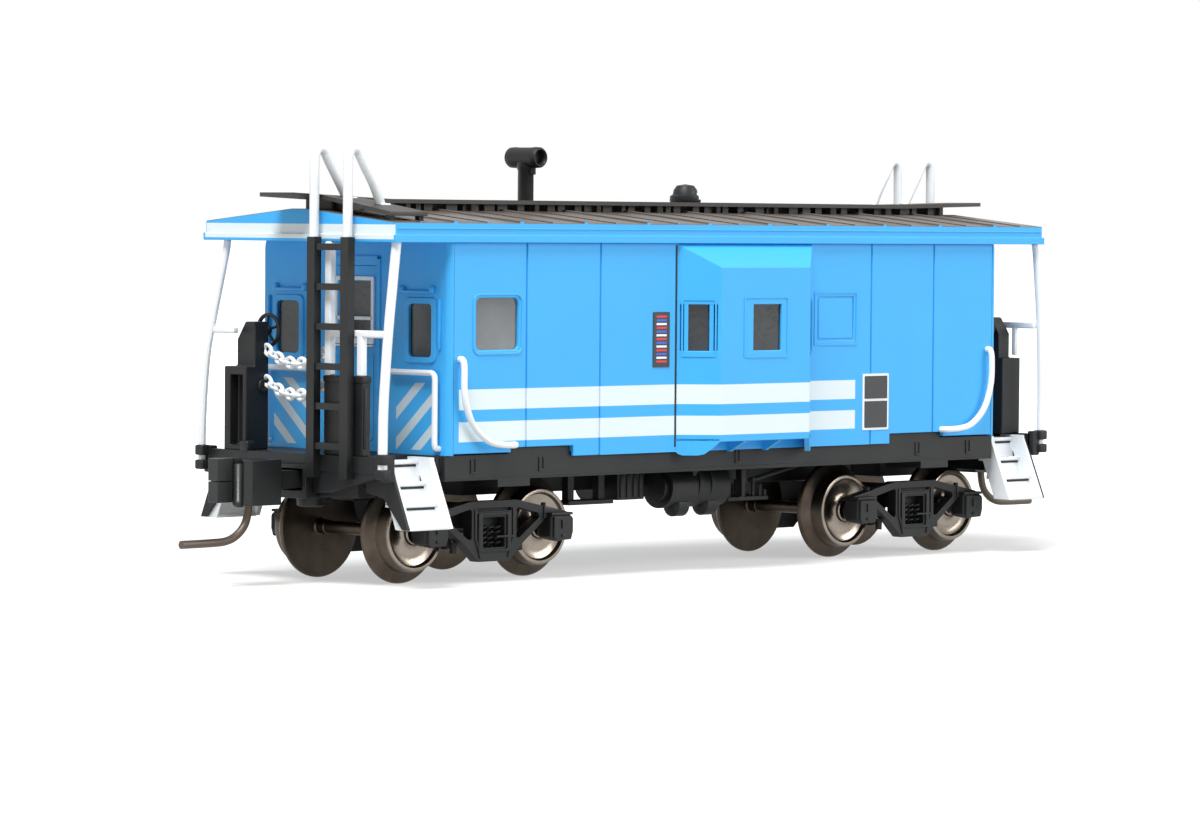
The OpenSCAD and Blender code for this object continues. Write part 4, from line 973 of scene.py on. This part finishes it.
# ---- Grab irons ----
# Bent white wires: at each corner of the sides a long J that runs down past the sill's end, and on the
# end walls a square bend beside each window.
grab_low, grab_high = corners("grab_irons_front")
irons = []
side_y = grab_low.y + 0.22
for s in (-1, 1):
    y = -s * abs(side_y)
    irons.append(wire(eased([
        (-26.8, -s * 9.1, 15.05), (-26.8, y, 15.05), (-26.82, y, 12.6), (-26.1, y, 10.7), (-24.6, y, 9.55),
        (-23.2, y, 9.32), (-21.9, y, 9.3), (-21.75, -s * 9.1, 9.3)], 0.9, 8), 0.44))
    x = end_face - 0.42
    irons.append(wire(eased([
        (end_face + 0.05, -s * 4.1, 14.15), (x, -s * 4.1, 14.15), (x, -s * 8.35, 14.15), (x, -s * 8.35, 9.2),
        (end_face + 0.05, -s * 8.35, 9.15)], 0.45, 6), 0.4))
both_ends(join(*irons), "grab_wires", white_enamel, "white_plastic", "grab_irons")

# ---- Brake gear ----
# Under the floor hang the air reservoir, brake cylinder, valve block and a plate of levers: black
# mouldings glued on, with a strap and two feet on the tank, ribs on the valve and a slanting rod.
tank = soften(from_node("air_reservoir"), 0.12, 3, 50)
tank_y, tank_z = -4.0, 5.8
bumps = []
for x in (-0.9, 2.0):
    bumps.append(spun([(x - 0.8, 0), (x - 0.8, 0.5), (x - 0.5, 0.8), (x + 0.5, 0.8), (x + 0.8, 0.5), (x + 0.8, 0)],
                      "x", (0, tank_y - 0.3, 4.35), 24))
straps = [spun([(x - 0.2, 1.4), (x - 0.2, 1.58), (x + 0.2, 1.58), (x + 0.2, 1.4)], "x", (0, tank_y, tank_z), 40)
          for x in (0.4, 1.6)]
hanger = soften(plate([(-0.35, -5.3, 7.3), (0.35, -5.3, 7.3), (0.15, -5.3, 5.9), (-0.15, -5.3, 5.9)], (0, 0.5, 0)), 0.06)
fit(join(tank, hanger, *straps, *bumps), "tank_and_straps", black_styrene, "black_plastic", "car", "air_reservoir",
    angle=40)

cylinder = soften(from_node("brake_cylinder"), 0.08, 2, 50)
fit(cylinder, "brake_cylinder_moulding", black_styrene, "black_plastic", "car", "brake_cylinder", angle=40)

valve_low, valve_high = corners("control_valve")
valve = soften(from_node("control_valve"), 0.12, 3)
ribs = [soften(block((valve_low.x + dx, valve_low.y - 0.1, valve_low.z + 0.15),
                     (valve_low.x + dx + 0.42, valve_low.y + 0.1, valve_low.z + 1.8)), 0.06)
        for dx in (0.2, 0.85, 1.5, 2.1)]
fit(join(valve, *ribs), "valve_block", black_styrene, "black_plastic", "car", "control_valve")

gear_low, gear_high = corners("brake_rigging")
gear = soften(from_node("brake_rigging"), 0.06)
levers = [wire([(x, -4.3, gear_low.z + 0.2), (x + 0.05, -4.3, gear_low.z + tall)], 0.4, 2)
          for x, tall in ((4.4, 0.8), (5.2, 1.5), (5.9, 0.9), (6.9, 1.6), (7.6, 1.1), (8.1, 0.7))]
arm = soften(plate([(5.0, -5.0, 7.3), (5.6, -5.0, 7.3), (5.4, -5.0, 4.75), (5.1, -5.0, 4.75)], (0, 0.6, 0)), 0.06)
rod = wire([(6.7, -4.2, 5.85), (11.7, -4.2, 6.75), (11.9, -4.2, 7.4)], 0.34, 2)
fit(join(gear, rod, arm, *levers), "lever_plate", black_styrene, "black_plastic", "car", "brake_rigging")

# ---- Couplers ----
# The draft box is part of the black underframe, with a screw head under it. The magnetic knuckle coupler
# is moulded in slick black acetal. Its bent trip pin of browned steel wire hangs under the head.
# Black acetal: darker and a little glossier than the styrene round it.
acetal = bpy.data.materials.new("black moulded acetal")
acetal.use_nodes = True
tree = acetal.node_tree
shader = tree.nodes["Principled BSDF"]
shader.inputs["IOR"].default_value = 1.4
place, wide = grain(tree, shader, 2600, 0.00002, 0.3, 0.45)
shade = add(tree, "ShaderNodeMix", {
    "Factor": wide.outputs[0], "A": linear("#1a1b1c"), "B": linear("#272829")}, data_type="RGBA")
tree.links.new(shade.outputs["Result"], shader.inputs["Base Color"])
# Browned steel wire: dark, warm and half bright, with darker patches where it was heated.
browned_wire = bpy.data.materials.new("browned steel wire")
browned_wire.use_nodes = True
tree = browned_wire.node_tree
shader = tree.nodes["Principled BSDF"]
shader.inputs["Metallic"].default_value = 0.7
place, wide = grain(tree, shader, 2400, 0.00002, 0.36, 0.5)
shade = add(tree, "ShaderNodeMix", {
    "Factor": wide.outputs[0], "A": linear("#4a423b"), "B": linear("#6a5f55")}, data_type="RGBA")
tree.links.new(shade.outputs["Result"], shader.inputs["Base Color"])

screw = spun([(5.1, 0), (5.1, 0.75), (5.2, 0.92), (5.5, 0.95), (5.8, 0.95), (5.8, 0)], "z", (-31.6, 0, 0), 32)
both_ends(join(soften(from_node("coupler_box_front"), 0.08), screw), "draft_box", black_styrene, "black_plastic",
          "coupler_box")
coupler = soften(from_node("coupler_front"), 0.26, 4, 30)
head_low, head_high = corners("coupler_front")
knuckle_x = head_low.x
cut(coupler, block((knuckle_x - 0.5, -0.1, 6.97), (knuckle_x + 1.35, 2.2, 7.04)))
# Hinge pin of the knuckle, a barrel set in the gap
pivot = spun([(5.3, 0), (5.3, 0.3), (5.42, 0.42), (5.7, 0.42), (5.75, 0.34), (8.1, 0.34), (8.15, 0.26), (8.15, 0)],
             "z", (knuckle_x + 1.65, -0.1, 0), 24)
coupler = join(coupler, pivot)
other = turned_round(coupler)
fit(coupler, "knuckle_at_front", acetal, "black_plastic", "coupler_front_body", "coupler_front")
fit(other, "knuckle_at_rear", acetal, "black_plastic", "coupler_rear_body", "coupler_rear")
pin_low, pin_high = corners("trip_pin_front")
pin_x = pin_high.x - 0.275
pin_z = pin_low.z + 0.275
pin = wire(eased([(pin_x, 0, 5.9), (pin_x, 0, 5.0), (pin_x - 0.35, 0, 3.9), (pin_x - 1.6, 0, pin_z + 0.05),
                  (pin_x - 3.6, 0, pin_z), (pin_low.x, 0, pin_z)], 1.3, 8), 0.55, 4)
other = turned_round(pin)
fit(pin, "trip_wire_at_front", browned_wire, "wire_brown", "coupler_front_body", "trip_pin_front")
fit(other, "trip_wire_at_rear", browned_wire, "wire_brown", "coupler_rear_body", "trip_pin_rear")

# ---- Trucks ----
# Each truck is one black acetal moulding, given the black styrene finish here: two open side frames with
# journal boxes, coil springs behind a square window, brake shoes and a bolster. It turns on a pin under the floor.


def side_frame(middle_x, out_y):
    """The parts of a truck's near side frame, its outer face at out_y."""
    back = 0.85
    right = [(2.15, 5.47), (4.9, 4.92), (4.75, 3.98), (2.65, 2.5), (2.35, 2.2), (1.45, 1.4)]
    outline = right + [(-a, b) for a, b in reversed(right)]
    frame_side = plate([(middle_x + a, out_y, b) for a, b in outline], (0, back, 0))
    for s in (-1, 1):
        hole = [(2.1, 4.85), (2.1, 3.0), (2.2, 2.9), (2.4, 2.93), (4.12, 4.12), (4.25, 4.28), (4.15, 4.5), (2.25, 4.95)]
        cut(frame_side, plate([(middle_x + s * a, out_y - 1, b) for a, b in hole], (0, 3, 0)))
    window = rounded(-1.03, 2.33, 0.97, 4.36, 0.1)
    cut(frame_side, plate([(middle_x + a, out_y - 1, b) for a, b in window], (0, 3, 0)),
        block((middle_x - 1.55, out_y - 0.5, 4.78), (middle_x + 1.6, out_y + 0.3, 4.98)))
    # Raised frame round the window, and a bead down each side of it
    raised = plate([(middle_x + a, out_y - 0.12, b) for a, b in rounded(-1.55, 2.05, 1.5, 4.66, 0.15)], (0, 0.2, 0))
    cut(raised, plate([(middle_x + a, out_y - 1, b) for a, b in rounded(-1.2, 2.2, 1.15, 4.5, 0.12)], (0, 3, 0)))
    parts = [soften(frame_side, 0.07), soften(raised, 0.04)]
    for s in (-1, 1):
        parts.append(soften(plate([(middle_x + s * a, out_y - 0.08, b) for a, b in (
            (1.68, 4.95), (1.86, 4.95), (1.86, 3.0), (1.35, 1.6), (1.2, 1.7), (1.68, 3.0))], (0, 0.2, 0)), 0.03))
        centre = middle_x + s * 5.85
        # Journal box under its flange, with the arm that reaches it and the axle's cup behind
        arm = [(s * a, b) for a, b in ((4.6, 4.98), (5.4, 4.82), (6.75, 4.55), (6.9, 4.35), (4.6, 4.1))]
        parts.append(soften(plate([(middle_x + a, out_y - 0.1, b) for a, b in arm], (0, back + 0.1, 0)), 0.08))
        parts.append(soften(block((centre - 0.95, out_y - 0.5, 2.75), (centre + 1.0, out_y + back, 4.4)), 0.2, 4))
        lid = [(-0.82, 4.25), (0.85, 4.25), (1.0, 4.05), (1.0, 3.2), (0.82, 2.65), (-0.6, 2.6), (-0.82, 2.8)]
        parts.append(soften(plate([(centre + a, out_y - 0.45, b) for a, b in lid], (0, -0.22, 0)), 0.08, 3))
        parts.append(soften(block((centre - 1.02, out_y - 0.6, 4.32), (centre + 1.02, out_y + 0.3, 4.5)), 0.05))
        parts.append(soften(block((centre - 0.14, out_y - 0.77, 3.42), (centre + 0.02, out_y - 0.6, 4.02)), 0.04))
        parts.append(soften(block((centre - 0.15, out_y - 0.77, 2.84), (centre + 0.2, out_y - 0.6, 3.02)), 0.04))
        cup = spun([(-7.2, 0), (-7.2, 0.95), (-6.1, 0.85), (-5.95, 0.75), (-5.9, 0.6), (-5.9, 0)], "y",
                   (centre, 0, 3.45), 24)
        parts.append(cup)
        parts.append(spun([(0, 0), (0, 0.18), (0.3, 0.18), (0.36, 0.1), (0.36, 0)], "z",
                          (centre - s * 0.95, out_y + 0.3, 4.82), 12))
        # Peg of the brake shoe below the strut
        parts.append(wire([(middle_x + s * 3.05, -6.27, 2.75), (middle_x + s * 3.1, -6.27, 2.0)], 0.48, 3))
    # Bolster end above the springs, and three short coils behind the window
    parts.append(soften(block((middle_x - 1.2, out_y + 0.2, 3.75), (middle_x + 1.2, out_y + 1.2, 4.5)), 0.08))
    parts.append(block((middle_x - 1.2, out_y + 0.85, 2.2), (middle_x + 1.2, out_y + 1.1, 3.9)))
    parts.append(soften(block((middle_x + 0.1, out_y - 0.15, 2.98), (middle_x + 1.75, out_y + 0.1, 3.12)), 0.04))
    for dx in (-0.66, 0.0, 0.66):
        coil = []
        for i in range(41):
            angle = math.tau * i / 10
            coil.append((middle_x + dx + 0.24 * math.cos(angle), out_y + 0.5 + 0.24 * math.sin(angle),
                         2.38 + 0.035 * i))
        parts.append(wire(coil, 0.16, 1))
    return parts


truck_low, truck_high = corners("truck_frame_front")
truck_x = (truck_low.x + truck_high.x) / 2
pieces = side_frame(truck_x, -7.05)
near_frame = join(*pieces)
select(near_frame)
bpy.ops.object.duplicate()
far_frame = bpy.context.object
far_frame.rotation_euler = (0, 0, math.pi)
far_frame.location.x = 2 * truck_x
bpy.ops.object.transform_apply(location=True, rotation=True, scale=True)
middle_parts = [soften(block((truck_x - 1.5, -6.3, 3.5), (truck_x + 1.5, 6.3, 5.1)), 0.15),
                spun([(4.9, 0.9), (4.9, 1.7), (truck_high.z - 0.1, 1.7), (truck_high.z, 1.6), (truck_high.z, 0.9)],
                     "z", (truck_x, 0, 0), 40)]
for s in (-1, 1):
    for t in (-1, 1):
        # Brake shoes between the wheels, and the beam that joins them
        shoe = plate([(truck_x + s * 2.35, t * 5.05 - 0.35, 2.3), (truck_x + s * 2.85, t * 5.05 - 0.35, 2.2),
                      (truck_x + s * 3.05, t * 5.05 - 0.35, 3.0), (truck_x + s * 2.95, t * 5.05 - 0.35, 4.0),
                      (truck_x + s * 2.4, t * 5.05 - 0.35, 4.2)], (0, 0.7, 0))
        middle_parts.append(soften(shoe, 0.06))
    middle_parts.append(soften(block((truck_x + s * 1.4 - 0.15, -5.3, 3.0), (truck_x + s * 2.5 + 0.1 * s, 5.3, 3.6)), 0.08))
truck = join(near_frame, far_frame, *middle_parts)
cut(truck, spun([(3.0, 0), (3.0, 0.85), (8.0, 0.85), (8.0, 0)], "z", (truck_x, 0, 0), 32))
other = turned_round(truck)
fit(truck, "truck_at_front", black_styrene, "black_plastic", "truck_front", "truck_frame_front")
fit(other, "truck_at_rear", black_styrene, "black_plastic", "truck_rear", "truck_frame_rear")
both_ends(soften(from_node("truck_pin_front"), 0.08, 2, 50), "pivot_pin", acetal, "pin_black", "truck_pin")

# ---- Wheelsets ----
# Blackened brass wheels, turned bright: a wide tread with a deep flange, a bright rim ring, a dished face
# with fine turning lines, and the journal running into its box. The axle between them is plain.
# Blackened nickel on brass: a warm brown-grey metal, brighter on the faces than on the tread.
wheel_metal = bpy.data.materials.new("browned nickel plate on turned brass")
wheel_metal.use_nodes = True
tree = wheel_metal.node_tree
shader = tree.nodes["Principled BSDF"]
shader.inputs["Metallic"].default_value = 1.0
place = add(tree, "ShaderNodeTexCoord")
mm = add(tree, "ShaderNodeVectorMath", {0: place.outputs["Object"], 1: (1000, 1000, 1000)}, operation="MULTIPLY")
x, y, z = add(tree, "ShaderNodeSeparateXYZ", {0: mm.outputs[0]}).outputs
cloud = add(tree, "ShaderNodeTexNoise", {"Vector": place.outputs["Object"], "Scale": 700.0, "Detail": 4.0, "Roughness": 0.6})
out_y = add(tree, "ShaderNodeMath", {0: y}, operation="ABSOLUTE")
facing = add(tree, "ShaderNodeSeparateXYZ", {0: add(tree, "ShaderNodeNewGeometry").outputs["Normal"]})
cheek = add(tree, "ShaderNodeMath", {0: facing.outputs[1]}, operation="ABSOLUTE")
cheek = add(tree, "ShaderNodeMapRange", {"Value": cheek.outputs[0], "From Min": 0.25, "From Max": 0.7})
outer = add(tree, "ShaderNodeMath", {0: out_y.outputs[0], 1: 4.9}, operation="GREATER_THAN")
bright = add(tree, "ShaderNodeMath", {0: cheek.outputs[0], 1: outer.outputs[0]}, operation="MULTIPLY")
dark = add(tree, "ShaderNodeMix", {
    "Factor": cloud.outputs[0], "A": linear("#3a342e"), "B": linear("#645a50")}, data_type="RGBA")
light = add(tree, "ShaderNodeMix", {
    "Factor": cloud.outputs[0], "A": linear("#756c63"), "B": linear("#9d9388")}, data_type="RGBA")
shade = add(tree, "ShaderNodeMix", {
    "Factor": bright.outputs[0], "A": dark.outputs["Result"], "B": light.outputs["Result"]}, data_type="RGBA")
tree.links.new(shade.outputs["Result"], shader.inputs["Base Color"])
rough = add(tree, "ShaderNodeMapRange", {
    "Value": bright.outputs[0], "To Min": 0.38, "To Max": 0.24})
tree.links.new(rough.outputs[0], shader.inputs["Roughness"])
fine = add(tree, "ShaderNodeTexNoise", {"Vector": place.outputs["Object"], "Scale": 2400.0, "Detail": 2.0})
bump = add(tree, "ShaderNodeBump", {"Strength": 0.2, "Distance": 0.00003, "Height": fine.outputs[0]})
tree.links.new(bump.outputs[0], shader.inputs["Normal"])

half_outline = [
    (0.0, 0.43), (3.0, 0.43), (3.05, 0.5), (3.72, 0.5), (3.8, 0.6), (3.8, 2.0), (3.8, 3.25), (3.83, 3.38), (3.92, 3.45),
    (4.08, 3.44), (4.2, 3.36), (4.32, 3.12), (4.42, 2.86), (4.55, 2.72), (4.72, 2.68), (5.42, 2.62), (5.52, 2.57),
    (5.55, 2.5), (5.55, 2.34), (5.5, 2.3), (5.42, 2.28), (5.3, 2.2), (5.2, 2.0), (5.14, 1.7), (5.13, 1.3), (5.18, 1.0),
    (5.3, 0.84), (5.48, 0.78), (5.55, 0.7), (5.55, 0.32), (5.6, 0.3), (6.6, 0.3), (6.75, 0.2), (6.85, 0.0)]
outline = [(-a, b) for a, b in reversed(half_outline[1:])] + half_outline[1:]
for number in (1, 2, 3, 4):
    axle_low, axle_high = corners(f"wheelset_{number}")
    centre = (axle_low + axle_high) / 2
    wheels = spun(outline, "y", (centre.x, 0, centre.z), 80)
    fit(wheels, f"wheels_and_axle_{number}", wheel_metal, "wheel_brown", f"wheelset_{number}", f"wheelset_{number}",
        angle=28)

# ---- Weight ----
# A plain bar of bright steel lies on the floor inside the shell and gives the car its weight.
# Rolled steel: bright grey with faint lines along the bar.
steel_bar = bpy.data.materials.new("rolled steel bar")
steel_bar.use_nodes = True
tree = steel_bar.node_tree
shader = tree.nodes["Principled BSDF"]
shader.inputs["Metallic"].default_value = 1.0
place, wide = grain(tree, shader, 1500, 0.00002, 0.35, 0.5)
shade = add(tree, "ShaderNodeMix", {
    "Factor": wide.outputs[0], "A": linear("#7d7d7b"), "B": linear("#96969a")}, data_type="RGBA")
tree.links.new(shade.outputs["Result"], shader.inputs["Base Color"])
fit(soften(from_node("weight"), 0.15, 2), "steel_weight", steel_bar, "weight_steel", "car", "weight")
